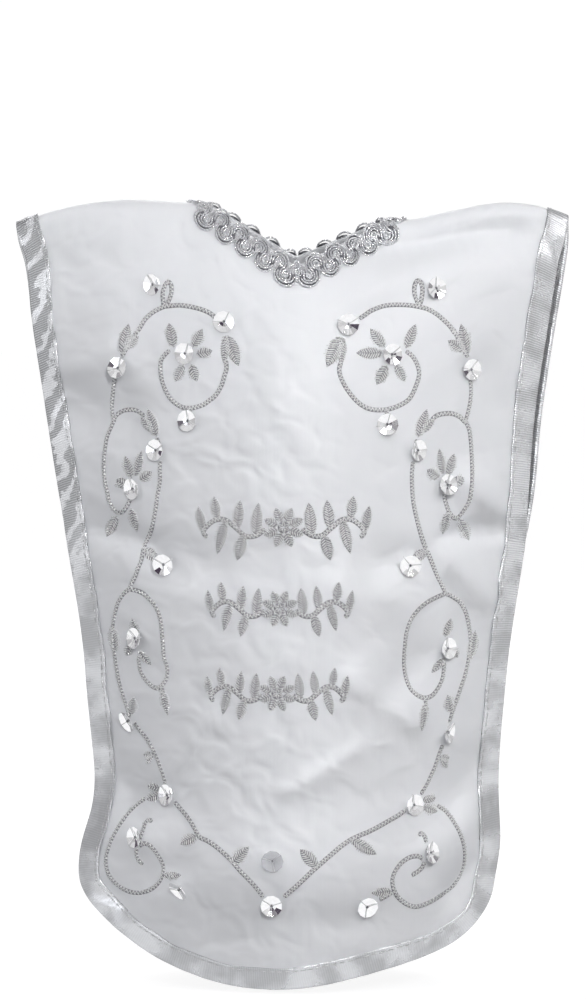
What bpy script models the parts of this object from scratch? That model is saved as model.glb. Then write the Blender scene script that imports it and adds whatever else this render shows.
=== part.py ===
"""Wine bottle cover: a satin tabard with a ribbon binding, a neck braid and sewn-on sequins.

Metres, +Z up. The front faces -Y. The origin is in the middle of the neck opening, at the
level of the shoulder folds, by which the cover hangs. Sizes below are in millimetres.
"""

import math

import bmesh
import bpy
import numpy as np
from mathutils import Matrix, Vector
from mathutils.bvhtree import BVHTree
from mathutils.geometry import delaunay_2d_cdt

MM = 0.001
FRONT = 1
BACK = -1

# Cloth
CLOTH_THICKNESS = 1.2
FOLD_RADIUS = 2.6  # of the soft fold over each shoulder, at the middle of the cloth
BODY_RADIUS = 39.0  # how far the cloth stands off the upright through the neck opening
TENT_HEIGHT = 22.0  # how quickly the cloth opens out below the shoulder fold
BOWED_SHARE = 0.5  # how far its stiffness bows the cloth on its way to the side edges
SEWN_HALF_GAP = 1.8  # the side edges lie this far either side of the middle where they are sewn
SEWN_FROM = -98.0
SEWN_TO = -180.0
SEWN_EASE = 60.0  # the edges draw together over this height
HEM_FROM = -196.0  # below this the front turns in towards its hem
HEM_DEPTH = 52.0
HEM_TURN_IN = 7.0
CORNER_FROM = -198.0  # here each side edge starts to bend towards its hem corner
FLAP_FLARE = 5.0  # how far the free side edges stand apart below the sewn stretch
FLAP_EASE = 36.0
FOLD_SETTLES = 12.0  # the shoulder fold has gone flat this far below its crest
FOLDS_FADE = 16.0  # no fold or dent within this distance of a side edge is full
FOLDS_START = 8.0  # nor this close below the shoulder fold
SHOULDER_END = 88.0

# Ribbon binding
RIBBON_REACH = 6.4  # width of the ribbon as seen from the front
RIBBON_WALL = 0.45
RIBBON_GAP = 0.42
RIBBON_NOSE = 0.7  # roundness of its folded edge

# Neck braid
BRAID_HALF_WIDTH = 4.2
BRAID_SWING = 0.7  # the scroll moves the band this far from side to side
BRAID_THICKNESS = 1.3
BRAID_GAP = 0.6
BRAID_OVERHANG = 0.8  # past the cut edge of the neck
BRAID_SCROLL = 7.5  # length of one scroll
STEPS_A_SCROLL = 6
BRAID_STRIPS = 2  # faces across the braid
BRAID_END_GAP = 0.6

# Sequins
SEQUIN_RADIUS = 3.5
SEQUIN_THICKNESS = 0.35
SEQUIN_CUP = 0.75
SEQUIN_SIDES = 12
SEQUIN_GAP = 0.34
SEQUIN_LIFT = 0.02  # a sequin is raised in such steps until it has that gap
SEEN_FROM_ABOVE = 4.0  # degrees; the heights of the sequins are as seen from there

# Mesh
CELL = 8.2
ROW_SHARE = 0.92  # rows are this much closer than the points along them
EDGE_STEP = 8.0
HEM_STEP = 6.0
NECK_STEP = 3.8
NECK_STEP_ON_FOLD = 1.7
NECK_FOLD_REACH = 6.0
FIRST_ROW = 3.5  # below the fold
SECOND_ROW = 8.5
SIDE_ROWS = 60
SIDE_CROWDING = 1.6  # crowds those rows towards the shoulder
SEATING_ROUNDS = 8
SEATING_SHARE = 0.8  # of a gap that has to be left everywhere

# The shoulder folds as seen from the front: x and height of the crest
CREST = (
    (-89.3, -2.9), (-83.0, -0.6), (-70.0, 2.9), (-55.0, 4.8), (-51.0, 4.8), (-35.0, 3.9),
    (0.0, 0.6), (32.0, -1.9), (50.0, 1.2), (60.0, 3.2), (69.0, 3.8), (78.0, 2.6), (89.3, -1.3),
)

# Half widths of the two panels at each height: left and right edge of the front, and how far
# the back shows past them
SIDES = (
    # height, left, right, back_past_left, back_past_right
    (5.0, 87.6, 86.2, 1.5, 2.0),
    (-3.0, 87.2, 85.6, 1.5, 2.4),
    (-9.0, 85.4, 84.6, 1.2, 2.6),
    (-18.0, 84.2, 83.0, 0.6, 2.8),
    (-31.0, 83.2, 81.0, 0.0, 2.6),
    (-53.0, 79.9, 77.5, 0.0, 2.6),
    (-67.0, 77.8, 75.8, 0.0, 2.4),
    (-85.0, 75.0, 74.5, 0.0, 2.2),
    (-98.0, 72.8, 73.7, 0.0, 1.1),
    (-104.0, 72.0, 73.4, 0.0, 0.0),
    (-124.0, 68.6, 70.3, 0.0, 0.0),
    (-139.0, 66.6, 68.1, 0.0, 0.0),
    (-152.0, 65.6, 66.8, 0.0, 0.0),
    (-168.0, 64.0, 65.4, 0.0, 0.0),
    (-180.0, 63.0, 64.8, 0.0, 0.0),
    (-190.0, 64.0, 65.0, 0.0, 0.0),
    (-200.0, 67.2, 65.6, 0.0, 0.0),
    (-208.0, 68.6, 65.8, 0.0, 0.0),
)

# The hem as seen from the front, from the left corner round to the right corner
HEM = (
    (-68.2, -212.6), (-64.8, -218.4), (-57.0, -225.8), (-47.0, -232.6), (-36.4, -237.6),
    (-22.4, -241.6), (-8.0, -242.8), (4.0, -242.2), (18.0, -239.8), (35.0, -235.8), (48.0, -231.6),
    (57.0, -225.6), (62.8, -217.2),
)

# The neck, by the middle line of its braid before its corners are rounded: half width on the
# fold, and how far each V comes down
NECK_HALF_WIDTH = 37.0
NECK_MIDDLE = 0.6
NECK_FRONT = 21.4
NECK_BACK = 20.0
NECK_SHOULDER_RADIUS = 5.6
NECK_TIP_RADIUS = 5.2

# Main folds of the front. height is towards the viewer, and a trough has a negative one
FOLDS = (
    # start x, start height, end x, end height, width, height
    (22.0, -11.0, 66.0, -7.0, 7.0, -5.0),  # hollow below the braid on the right shoulder
    (20.0, -24.0, 66.0, -9.0, 5.0, 2.2),  # crease below that hollow
    (-38.0, -8.0, -78.0, -18.0, 9.0, -2.4),  # hollow on the left shoulder
    (-56.0, -43.0, -76.0, -50.0, 5.0, 2.6),  # ridge from the left side
    (-56.0, -62.0, -73.0, -66.0, 9.0, -3.0),  # hollow under it
    (58.0, -48.0, 70.0, -62.0, 8.0, -2.4),  # dent by the right side
    (56.0, -84.0, 67.0, -92.0, 6.0, 3.2),  # bright bump above the sewn stretch
    (48.0, -101.0, 68.0, -98.0, 4.0, -3.4),  # drawn-in trough where the stitches begin
    (44.0, -102.0, 66.0, -128.0, 5.0, 3.6),  # fold running down to the right side
    (62.0, -106.0, 70.0, -112.0, 5.0, -2.4),
    (-44.0, -104.0, -68.0, -97.0, 6.0, -2.6),  # the same on the left
    (-38.0, -118.0, -46.0, -130.0, 8.0, 2.2),
    (16.0, -118.0, 38.0, -122.0, 7.0, 1.8),
    (-40.0, -110.0, -10.0, -108.0, 8.0, -1.6),  # long shallow waves across the middle
    (28.0, -108.0, 44.0, -104.0, 6.0, -2.0),
    (20.0, -146.0, 38.0, -158.0, 6.0, 2.2),  # dent on the right
    (38.0, -140.0, 30.0, -150.0, 6.0, -1.8),
    (-41.0, -176.0, -27.0, -158.0, 4.0, 1.6),  # crease rising to the right
    (-3.0, -180.0, 21.0, -168.0, 4.5, 1.2),
    (-62.0, -170.0, -52.0, -186.0, 7.0, -2.6),  # pinched sides
    (64.0, -172.0, 50.0, -184.0, 7.0, -2.4),
    (-66.0, -192.0, -48.0, -196.0, 7.0, 2.4),
    (66.0, -200.0, 50.0, -214.0, 5.0, -3.0),  # dark slant above the right hem corner
    (60.0, -192.0, 46.0, -200.0, 6.0, 2.2),
    (-56.0, -216.0, -40.0, -204.0, 7.0, -2.2),
    (-20.0, -222.0, 26.0, -220.0, 10.0, -1.6),
)

# Two soft folds that keep the hidden back from being a plain curve
BACK_FOLDS = (
    (-30.0, -40.0, -50.0, -170.0, 12.0, -2.0),
    (36.0, -60.0, 22.0, -200.0, 13.0, -1.8),
    (-60.0, -180.0, -30.0, -224.0, 10.0, 2.0),
)

# Sequins, each named by where it sits, as seen from the front
SEQUINS = (
    # name, x, height, tilt and the side it lifts on, in degrees
    ("left_crown", -44.2, -22.9, 31, 39), ("left_spiral", -21.8, -34.7, 18, 96),
    ("left_shoulder", -55.4, -48.5, 31, 302), ("left_flower", -34.2, -44.6, 15, 41),
    ("left_drop", -33.3, -65.8, 7, 343), ("left_loop", -43.5, -75.1, 10, 341),
    ("left_second_flower", -50.9, -87.3, 16, 7), ("left_branch", -40.6, -111.6, 26, 129),
    ("left_bud", -50.2, -134.9, 11, 316), ("left_edge_on", -52.2, -161.4, 24, 58),
    ("left_low_branch", -40.0, -184.8, 10, 355), ("left_low_bud", -50.2, -198.5, 19, 5),
    ("left_hem", -35.2, -214.6, 40, 72), ("middle_point", -7.0, -219.1, 16, 238),
    ("middle_clear", -6.7, -205.0, 14, 125), ("right_crown", 44.8, -23.8, 17, 153),
    ("right_spiral", 17.0, -35.6, 20, 67), ("right_shoulder", 56.0, -49.4, 4, 69),
    ("right_flower", 30.7, -44.9, 10, 133), ("right_drop", 29.1, -67.0, 17, 356),
    ("right_loop", 38.7, -75.1, 18, 175), ("right_second_flower", 48.3, -86.1, 21, 194),
    ("right_branch", 36.2, -111.6, 23, 25), ("right_bud", 48.6, -138.1, 12, 211),
    ("right_edge_on", 48.3, -164.9, 24, 168), ("right_low_branch", 37.8, -188.0, 11, 109),
    ("right_low_bud", 42.9, -203.1, 20, 202), ("right_hem", 22.9, -219.8, 9, 59),
)


def smooth(value):
    """Smooth step from 0 to 1."""
    share = min(1.0, max(0.0, value))
    return share * share * (3 - 2 * share)


def through(rows, at, column):
    """Value of a column where the first column equals at, on a curve through the rows."""
    keys = [row[0] for row in rows]
    values = [row[column] for row in rows]
    if keys[0] > keys[-1]:
        keys.reverse()
        values.reverse()
    at = min(max(at, keys[0]), keys[-1])
    cell = min(int(np.searchsorted(keys, at, side="right")) - 1, len(keys) - 2)
    span = keys[cell + 1] - keys[cell]
    share = (at - keys[cell]) / span

    def slope(i):
        before = max(i - 1, 0)
        after = min(i + 1, len(keys) - 1)
        return (values[after] - values[before]) / (keys[after] - keys[before])

    square = share * share
    cube = square * share
    return (
        (2 * cube - 3 * square + 1) * values[cell]
        + (cube - 2 * square + share) * span * slope(cell)
        + (3 * square - 2 * cube) * values[cell + 1]
        + (cube - square) * span * slope(cell + 1)
    )


def crest(x):
    return through(CREST, x, 1)


def half_width(x, height, panel):
    """How far the panel's side edge is from the middle, on the side that x is on."""
    side = 1 if x < 0 else 2
    width = through(SIDES, height, side)
    if panel == BACK:
        width += through(SIDES, height, side + 2)
    return width


def fold_height(x, height, folds):
    """Sum of the soft ridges and troughs at a point, each highest along its own line."""
    total = 0.0
    for x0, z0, x1, z1, width, rise in folds:
        along = (x1 - x0, z1 - z0)
        length = along[0] ** 2 + along[1] ** 2
        share = ((x - x0) * along[0] + (height - z0) * along[1]) / length
        share = min(1.0, max(0.0, share))
        off = math.hypot(x - x0 - share * along[0], height - z0 - share * along[1])
        total += rise * math.exp(-((off / width) ** 2))
    return total


def round_depth(x, radius, width):
    """Depth of cloth round the middle, between drawn straight to its side edges and bowed."""
    if radius <= 0:
        return 0.0
    touch = radius * radius / width
    if abs(x) < touch:
        drawn = math.sqrt(radius * radius - x * x)
    else:
        drawn = (width - abs(x)) * radius / math.sqrt(width * width - radius * radius)
    bowed = radius * (1 - (x / width) ** 2)
    return drawn + (bowed - drawn) * BOWED_SHARE


def edge_gap(height):
    """How far a side edge lies from the plane between front and back."""
    if height > SEWN_TO:
        upper = smooth((height - SEWN_FROM) / SEWN_EASE)
        return SEWN_HALF_GAP + (FOLD_RADIUS - SEWN_HALF_GAP) * upper
    return SEWN_HALF_GAP + FLAP_FLARE * smooth((SEWN_TO - height) / FLAP_EASE)


def surface(x, down):
    """Middle of the cloth. down is measured from the shoulder fold, over the front if positive."""
    panel = FRONT if down >= 0 else BACK
    away = abs(down)
    quarter = FOLD_RADIUS * math.pi / 2
    if away < quarter:
        drop = FOLD_RADIUS * (1 - math.cos(away / FOLD_RADIUS))
        out = FOLD_RADIUS * math.sin(away / FOLD_RADIUS)
    else:
        drop = FOLD_RADIUS + away - quarter
        out = FOLD_RADIUS
    height = crest(x) - drop
    settled = smooth((drop - FOLD_RADIUS) / FOLD_SETTLES)
    out += (edge_gap(height) - out) * settled
    radius = BODY_RADIUS * (1 - math.exp(-drop / TENT_HEIGHT))
    radius -= HEM_TURN_IN * smooth((HEM_FROM - height) / HEM_DEPTH)
    width = half_width(x, height, panel)
    out += round_depth(x, radius, width)
    folds = FOLDS if panel == FRONT else BACK_FOLDS
    near_edge = smooth((width + 1 - abs(x)) / FOLDS_FADE)
    out += fold_height(x, height, folds) * near_edge * smooth(drop / FOLDS_START)
    return Vector((x, -panel * out, height))


def normal(x, down):
    """Outward normal of the cloth."""
    step = 0.25
    across = surface(x + step, down) - surface(x - step, down)
    along = surface(x, down + step) - surface(x, down - step)
    return across.cross(-along).normalized()


def down_at(x, height, panel):
    """Distance down from the fold of a point seen at x and height."""
    drop = crest(x) - height
    if drop < FOLD_RADIUS:
        angle = math.acos(1 - max(0.0, drop) / FOLD_RADIUS)
        return panel * FOLD_RADIUS * angle
    return panel * (FOLD_RADIUS * math.pi / 2 + drop - FOLD_RADIUS)


def evenly(points, step):
    """Points a step apart along a polyline, its last point left out."""
    points = [Vector(p) for p in points]
    lengths = [0.0]
    for a, b in zip(points, points[1:]):
        lengths.append(lengths[-1] + (b - a).length)
    count = max(1, round(lengths[-1] / step))
    out = []
    for i in range(count):
        at = lengths[-1] * i / count
        cell = min(int(np.searchsorted(lengths, at, side="right")) - 1, len(points) - 2)
        share = (at - lengths[cell]) / (lengths[cell + 1] - lengths[cell])
        out.append(points[cell].lerp(points[cell + 1], share))
    return out


def closer_on_fold(points):
    """Every so many of the points: few down the sides of the neck, more where it turns over."""
    picked = [points[0]]
    for point in points:
        step = NECK_STEP_ON_FOLD if abs(point.y) < NECK_FOLD_REACH else NECK_STEP
        if (point - picked[-1]).length >= step and (point - points[0]).length > step * 0.6:
            picked.append(point)
    return picked


def hem_curve(panel):
    """The hem from the left corner to the right, as positions on the flat cloth."""
    keyed = [(i, x, z) for i, (x, z) in enumerate(HEM)]
    fine = []
    steps = 8
    for i in range((len(HEM) - 1) * steps + 1):
        x = through(keyed, i / steps, 1)
        z = through(keyed, i / steps, 2)
        fine.append((x, down_at(x, z, panel)))
    return fine


def side_curve(side, panel):
    """A side edge from the shoulder fold to the hem corner, as positions on the flat cloth."""
    corner = HEM[0] if side < 0 else HEM[-1]
    top = crest(side * SHOULDER_END)
    # The front and the back share the end of the fold, halfway between their own widths
    shared = (half_width(side, top, FRONT) + half_width(side, top, BACK)) / 2
    fine = []
    for i in range(SIDE_ROWS + 1):
        height = top + (corner[1] - top) * (i / SIDE_ROWS) ** SIDE_CROWDING
        width = half_width(side, height, panel)
        width += (shared - width) * (1 - smooth((top - height) / FOLD_SETTLES))
        toward_corner = smooth((CORNER_FROM - height) / (CORNER_FROM - corner[1]))
        width += (abs(corner[0]) - width) * toward_corner
        fine.append((side * width, down_at(side * width, height, panel)))
    fine[0] = (side * shared, 0.0)
    return fine


def side_points(side, panel):
    """The side edge in steps, closer together where it turns over the shoulder."""
    fine = evenly(side_curve(side, panel), 0.25)
    quarter = FOLD_RADIUS * math.pi / 2
    picked = []
    for down in (0, quarter / 2, quarter, quarter + FIRST_ROW):
        picked.append(min(fine, key=lambda p: abs(abs(p.y) - down)))
    rest = [p for p in fine if abs(p.y) > quarter + FIRST_ROW]
    return picked + evenly(rest + [Vector(side_curve(side, panel)[-1])], EDGE_STEP)[1:]


def outline():
    """The closed outer edge of the flat cloth, in steps."""
    runs = {}
    for panel in (FRONT, BACK):
        hem = evenly(hem_curve(panel), HEM_STEP) + [Vector(hem_curve(panel)[-1])]
        left = side_points(-1, panel)
        right = side_points(1, panel)
        runs[panel] = left + hem + right[:0:-1]
    top_right = side_points(1, FRONT)[:1]
    return runs[FRONT] + top_right + runs[BACK][:0:-1]


def neck_line():
    """The closed middle line of the braid: a long diamond with round corners."""
    corners = [
        Vector((NECK_MIDDLE - NECK_HALF_WIDTH, 0)), Vector((NECK_MIDDLE, NECK_FRONT)),
        Vector((NECK_MIDDLE + NECK_HALF_WIDTH, 0)), Vector((NECK_MIDDLE, -NECK_BACK)),
    ]
    radii = [NECK_SHOULDER_RADIUS, NECK_TIP_RADIUS, NECK_SHOULDER_RADIUS, NECK_TIP_RADIUS]
    fine = []
    for i, (corner, radius) in enumerate(zip(corners, radii)):
        back = (corners[i - 1] - corner).normalized()
        ahead = (corners[(i + 1) % 4] - corner).normalized()
        half = back.angle(ahead) / 2
        centre = corner + (back + ahead).normalized() * (radius / math.sin(half))
        start = corner + back * (radius / math.tan(half)) - centre
        turn = math.pi - 2 * half
        way = 1 if back.x * ahead.y - back.y * ahead.x < 0 else -1
        for k in range(13):
            angle = way * turn * k / 12
            fine.append(centre + Matrix.Rotation(angle, 2) @ start)
    return fine


def offset_loop(points, distance):
    """The closed loop moved to the left of its own direction."""
    moved = []
    for i, point in enumerate(points):
        ahead = (points[(i + 1) % len(points)] - point).normalized()
        behind = (point - points[i - 1]).normalized()
        turn = (ahead + behind).normalized()
        moved.append(point + Vector((-turn.y, turn.x)) * distance)
    return moved


def signed_area(points):
    return sum(a.x * b.y - b.x * a.y for a, b in zip(points, points[1:] + points[:1])) / 2


def inside(point, loop):
    """Whether a point is inside a closed loop."""
    found = False
    for a, b in zip(loop, loop[1:] + loop[:1]):
        if (a.y > point.y) != (b.y > point.y):
            if point.x < (b.x - a.x) * (point.y - a.y) / (b.y - a.y) + a.x:
                found = not found
    return found


def distance_to(point, loop):
    return min((point - other).length for other in loop)


class Pattern:
    """The flat cloth: its edge, its neck cut, and a ring a little inside each."""

    def __init__(self):
        self.edge = outline()
        inward = 1 if signed_area(self.edge) > 0 else -1
        self.edge_ring = offset_loop(self.edge, inward * RIBBON_REACH)
        fine = neck_line()
        self.neck_fine = evenly(fine + fine[:1], 0.2)
        self.outward = -1 if signed_area(fine) > 0 else 1
        self.neck_middle = closer_on_fold(self.neck_fine)
        reach = BRAID_HALF_WIDTH * self.outward
        self.neck = offset_loop(self.neck_middle, BRAID_OVERHANG * self.outward - reach)
        self.neck_ring = offset_loop(self.neck_middle, reach)

    def fill(self):
        """Points inside both rings: rows across the cloth, close together on the fold."""
        quarter = FOLD_RADIUS * math.pi / 2
        downs = [0, quarter / 2, quarter, quarter + FIRST_ROW, quarter + SECOND_ROW]
        reach = max(abs(p.y) for p in self.edge)
        while downs[-1] < reach:
            downs.append(downs[-1] + CELL * ROW_SHARE)
        rows = [(down, i) for i, down in enumerate(downs)]
        rows += [(-down, i) for i, down in enumerate(downs) if down]
        points = []
        fold_rows = []
        for down, i in rows:
            on_fold = abs(down) <= quarter + 0.1
            shift = 0 if on_fold or i % 2 else CELL / 2
            row = []
            for k in range(-14, 15):
                point = Vector((k * CELL + shift, down))
                clear = 1.6 if on_fold else CELL * 0.45
                if not inside(point, self.edge_ring) or inside(point, self.neck_ring):
                    continue
                if distance_to(point, self.edge_ring) < clear:
                    continue
                if distance_to(point, self.neck_ring) < clear:
                    continue
                row.append(len(points))
                points.append(point)
            if on_fold:
                fold_rows.append(row)
        return points, fold_rows


def collection_named(name):
    made = bpy.data.collections.new(name)
    bpy.context.scene.collection.children.link(made)
    return made


def material(name, colour, roughness, metallic):
    made = bpy.data.materials.new(name)
    made.use_nodes = True
    shader = made.node_tree.nodes["Principled BSDF"]
    shader.inputs["Base Color"].default_value = (*colour, 1)
    shader.inputs["Roughness"].default_value = roughness
    shader.inputs["Metallic"].default_value = metallic
    return made


def add_object(name, points, faces, finish, collection):
    """Mesh object from points in millimetres."""
    mesh = bpy.data.meshes.new(name)
    mesh.from_pydata([Vector(p) * MM for p in points], [], faces)
    work = bmesh.new()
    work.from_mesh(mesh)
    bmesh.ops.recalc_face_normals(work, faces=work.faces)
    work.to_mesh(mesh)
    work.free()
    mesh.shade_smooth()
    mesh.set_sharp_from_angle(angle=math.radians(40))
    mesh.materials.append(finish)
    made = bpy.data.objects.new(name, mesh)
    collection.objects.link(made)
    return made


def make_cloth(pattern, finish, collection):
    """The whole satin cloth: a flat cut, triangulated, then laid over the draped form."""
    inner, fold_rows = pattern.fill()
    loops = [
        pattern.edge, pattern.edge_ring, pattern.neck, pattern.neck_middle, pattern.neck_ring,
    ]
    points = []
    held = []
    starts = []
    for loop in loops:
        start = len(points)
        starts.append(start)
        points += loop
        held += [(start + i, start + (i + 1) % len(loop)) for i in range(len(loop))]
    for near, far in ((0, 1), (2, 3), (3, 4)):
        held += [(starts[near] + i, starts[far] + i) for i in range(len(loops[near]))]
    start = len(points)
    points += inner
    for row in fold_rows:
        for a, b in zip(row, row[1:]):
            if points[start + b].x - points[start + a].x < CELL * 1.5:
                held.append((start + a, start + b))
    flat, _, triangles, *_ = delaunay_2d_cdt(points, held, [], 0, 1e-4)
    kept = []
    for a, b, c in triangles:
        centre = (flat[a] + flat[b] + flat[c]) / 3
        if inside(centre, pattern.edge) and not inside(centre, pattern.neck):
            kept.append((a, b, c))
    draped = [surface(p.x, p.y) for p in flat]
    cloth = add_object("cover_cloth", draped, kept, finish, collection)
    thicken = cloth.modifiers.new("thickness", "SOLIDIFY")
    thicken.thickness = CLOTH_THICKNESS * MM
    thicken.offset = 0
    thicken.use_even_offset = False
    return cloth


def loft(sections, closed):
    """Quads between sections of equal length, capped at both ends unless closed."""
    sides = len(sections[0])
    points = [p for section in sections for p in section]
    faces = []
    spans = len(sections) if closed else len(sections) - 1
    for i in range(spans):
        here = i * sides
        there = (i + 1) % len(sections) * sides
        for k in range(sides):
            turn = (k + 1) % sides
            faces.append((here + k, here + turn, there + turn, there + k))
    if not closed:
        faces.append(tuple(range(sides)))
        faces.append(tuple(range(len(points) - sides, len(points))))
    return points, faces


def clearance(tree, point, away):
    """Distance from the cloth, negative inside it. Past the cut edge it is plain distance."""
    found, facing, _, distance = tree.find_nearest(point * MM)
    if facing.dot(away) < 0.3:
        return distance / MM
    return (point * MM - found).dot(facing) / MM


def seat(tree, rows, aways, gap, closed):
    """Moves a grid of points away from the cloth until it clears it, between the points too."""
    for _ in range(SEATING_ROUNDS):
        for i, row in enumerate(rows):
            for k in range(len(row)):
                for j, m in ((i, k), (i - 1, k), (i, k - 1), (i - 1, k - 1), (i - 1, k + 1)):
                    if not 0 <= m < len(row) or (j < 0 and not closed):
                        continue
                    for share in (0.25, 0.5, 0.75):
                        spot = rows[i][k].lerp(rows[j][m], share)
                        short = (gap - clearance(tree, spot, aways[i][k])) * 0.6
                        if short > 0:
                            rows[i][k] = rows[i][k] + aways[i][k] * short
                            rows[j][m] = rows[j][m] + aways[j][m] * short
    return rows


def make_binding(pattern, tree, finish, collection):
    """Ribbon folded round the cloth's edge, one closed loop."""
    near = CLOTH_THICKNESS / 2 + RIBBON_GAP
    noses = []
    legs = {}
    for face in (1, -1):
        rows, aways = [], []
        for edge, ring in zip(pattern.edge, pattern.edge_ring):
            edge_point = surface(edge.x, edge.y)
            ring_point = surface(ring.x, ring.y)
            inward = (ring_point - edge_point).normalized()
            lip = edge_point - inward * RIBBON_GAP
            lip_away = normal(edge.x, edge.y) * face
            lip_away = (lip_away - inward * lip_away.dot(inward)).normalized()
            ring_away = normal(ring.x, ring.y) * face
            rows.append([lip + lip_away * near, ring_point + ring_away * near])
            aways.append([lip_away, ring_away])
            if face > 0:
                noses.append((lip - inward * near * RIBBON_NOSE, -inward))
        under = seat(tree, rows, aways, RIBBON_GAP * SEATING_SHARE, closed=True)
        legs[face] = [
            [(point, point + away * RIBBON_WALL) for point, away in zip(row, row_aways)]
            for row, row_aways in zip(under, aways)
        ]
    sections = []
    for front, behind, (nose, out) in zip(legs[1], legs[-1], noses):
        sections.append([
            front[1][1], front[0][1], nose + out * RIBBON_WALL, behind[0][1], behind[1][1],
            behind[1][0], behind[0][0], nose, front[0][0], front[1][0],
        ])
    points, faces = loft(sections, closed=True)
    return add_object("edge_binding", points, faces, finish, collection)


def make_braid(pattern, tree, finish, collection):
    """Flat scroll braid laid over the neck edge, its ends meeting on the left shoulder."""
    run = pattern.neck_fine
    length = sum((b - a).length for a, b in zip(run, run[1:] + run[:1]))
    scrolls = round(length / BRAID_SCROLL)
    steps = scrolls * STEPS_A_SCROLL
    beside = offset_loop(run, pattern.outward)
    low = CLOTH_THICKNESS / 2 + BRAID_GAP
    rows, aways = [], []
    trimmed = BRAID_END_GAP / length / 2
    for i in range(steps + 1):
        share = trimmed + (1 - 2 * trimmed) * i / steps
        cell = min(int(share * len(run)), len(run) - 1)
        across = beside[cell] - run[cell]
        swing = BRAID_SWING * math.cos(2 * math.pi * scrolls * i / steps)
        spots = []
        for k in range(BRAID_STRIPS + 1):
            off = BRAID_HALF_WIDTH * (1 - 2 * k / BRAID_STRIPS) + swing
            spots.append(run[cell] + across * off)
        aways.append([normal(spot.x, spot.y) for spot in spots])
        rows.append([surface(s.x, s.y) + away * low for s, away in zip(spots, aways[-1])])
    under = seat(tree, rows, aways, BRAID_GAP * SEATING_SHARE, closed=False)
    sections = []
    for row, row_aways in zip(under, aways):
        over = [point + away * BRAID_THICKNESS for point, away in zip(row, row_aways)]
        sections.append(over + row[::-1])
    points, faces = loft(sections, closed=False)
    return add_object("neck_braid", points, faces, finish, collection)


def sequin_mesh(finish):
    """A shallow cup, turned from its profile."""
    mesh = bpy.data.meshes.new("sequin")
    profile = [(0, 0), (SEQUIN_RADIUS, SEQUIN_CUP)]
    mesh.from_pydata([Vector((r, 0, z)) * MM for r, z in profile], [(0, 1)], [])
    holder = bpy.data.objects.new("sequin_profile", mesh)
    bpy.context.scene.collection.objects.link(holder)
    turn = holder.modifiers.new("turn", "SCREW")
    turn.steps = SEQUIN_SIDES
    turn.render_steps = SEQUIN_SIDES
    turn.use_merge_vertices = True
    turn.merge_threshold = 1e-5
    shell = holder.modifiers.new("shell", "SOLIDIFY")
    shell.thickness = SEQUIN_THICKNESS * MM
    shell.offset = 0
    bpy.context.view_layer.update()
    evaluated = holder.evaluated_get(bpy.context.evaluated_depsgraph_get())
    turned = bpy.data.meshes.new_from_object(evaluated)
    bpy.data.objects.remove(holder)
    work = bmesh.new()
    work.from_mesh(turned)
    bmesh.ops.recalc_face_normals(work, faces=work.faces)
    work.to_mesh(turned)
    work.free()
    turned.materials.clear()
    turned.materials.append(finish)
    return turned


def make_sequins(tree, finish, collection):
    """Each sequin is tilted a little, then set down on the cloth until it almost touches."""
    mesh = sequin_mesh(finish)
    sight = Matrix.Rotation(-math.radians(SEEN_FROM_ABOVE), 3, "X") @ Vector((0, 1, 0))
    for name, x, height, tilt, lifted in SEQUINS:
        start = (Vector((x, 0, height)) - sight * BODY_RADIUS * 3) * MM
        spot, facing, *_ = tree.ray_cast(start, sight)
        upright = facing.to_track_quat("Z", "Y").to_matrix().to_4x4()
        turn = Matrix.Rotation(math.radians(lifted), 4, "Z")
        lean = Matrix.Rotation(-math.radians(tilt), 4, "Y")
        rotation = upright @ turn @ lean @ turn.inverted()
        lift = 0.0
        while True:
            place = Matrix.Translation(spot + facing * lift) @ rotation
            gaps = [tree.find_nearest(place @ vertex.co) for vertex in mesh.vertices]
            near = min(
                (place @ vertex.co - found[0]).dot(found[1])
                for vertex, found in zip(mesh.vertices, gaps)
            )
            if near >= SEQUIN_GAP * MM:
                break
            lift += SEQUIN_LIFT * MM
        sequin = bpy.data.objects.new(f"sequin_{name}", mesh)
        sequin.matrix_world = place
        collection.objects.link(sequin)


def main():
    for old in list(bpy.data.objects):
        bpy.data.objects.remove(old)
    collection = collection_named("wine_bottle_cover")
    pattern = Pattern()
    satin = material("white_satin", (0.83, 0.84, 0.87), 0.38, 0.0)
    ribbon = material("silver_ribbon", (0.70, 0.72, 0.74), 0.28, 0.85)
    cord = material("silver_cord", (0.66, 0.67, 0.70), 0.32, 0.85)
    foil = material("silver_foil", (0.88, 0.88, 0.90), 0.12, 1.0)
    cloth = make_cloth(pattern, satin, collection)
    bpy.context.view_layer.update()
    tree = BVHTree.FromObject(cloth, bpy.context.evaluated_depsgraph_get())
    make_binding(pattern, tree, ribbon, collection)
    make_braid(pattern, tree, cord, collection)
    make_sequins(tree, foil, collection)


main()
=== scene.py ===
"""Looks of a wine bottle cover: satin tabard, ribbon binding, scroll braid, silver embroidery and
sequins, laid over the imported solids.

Metres, +Z up, the front faces -Y. Lengths in the tables and functions are in millimetres. A place
on the cloth is given by x and by down, the way from the shoulder fold over the front, or over the
back where it is negative.
"""

import math

import bmesh
import bpy
import numpy as np
from bpy.props import FloatProperty, FloatVectorProperty, IntProperty, PointerProperty
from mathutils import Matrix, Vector
from mathutils.geometry import delaunay_2d_cdt


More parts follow.
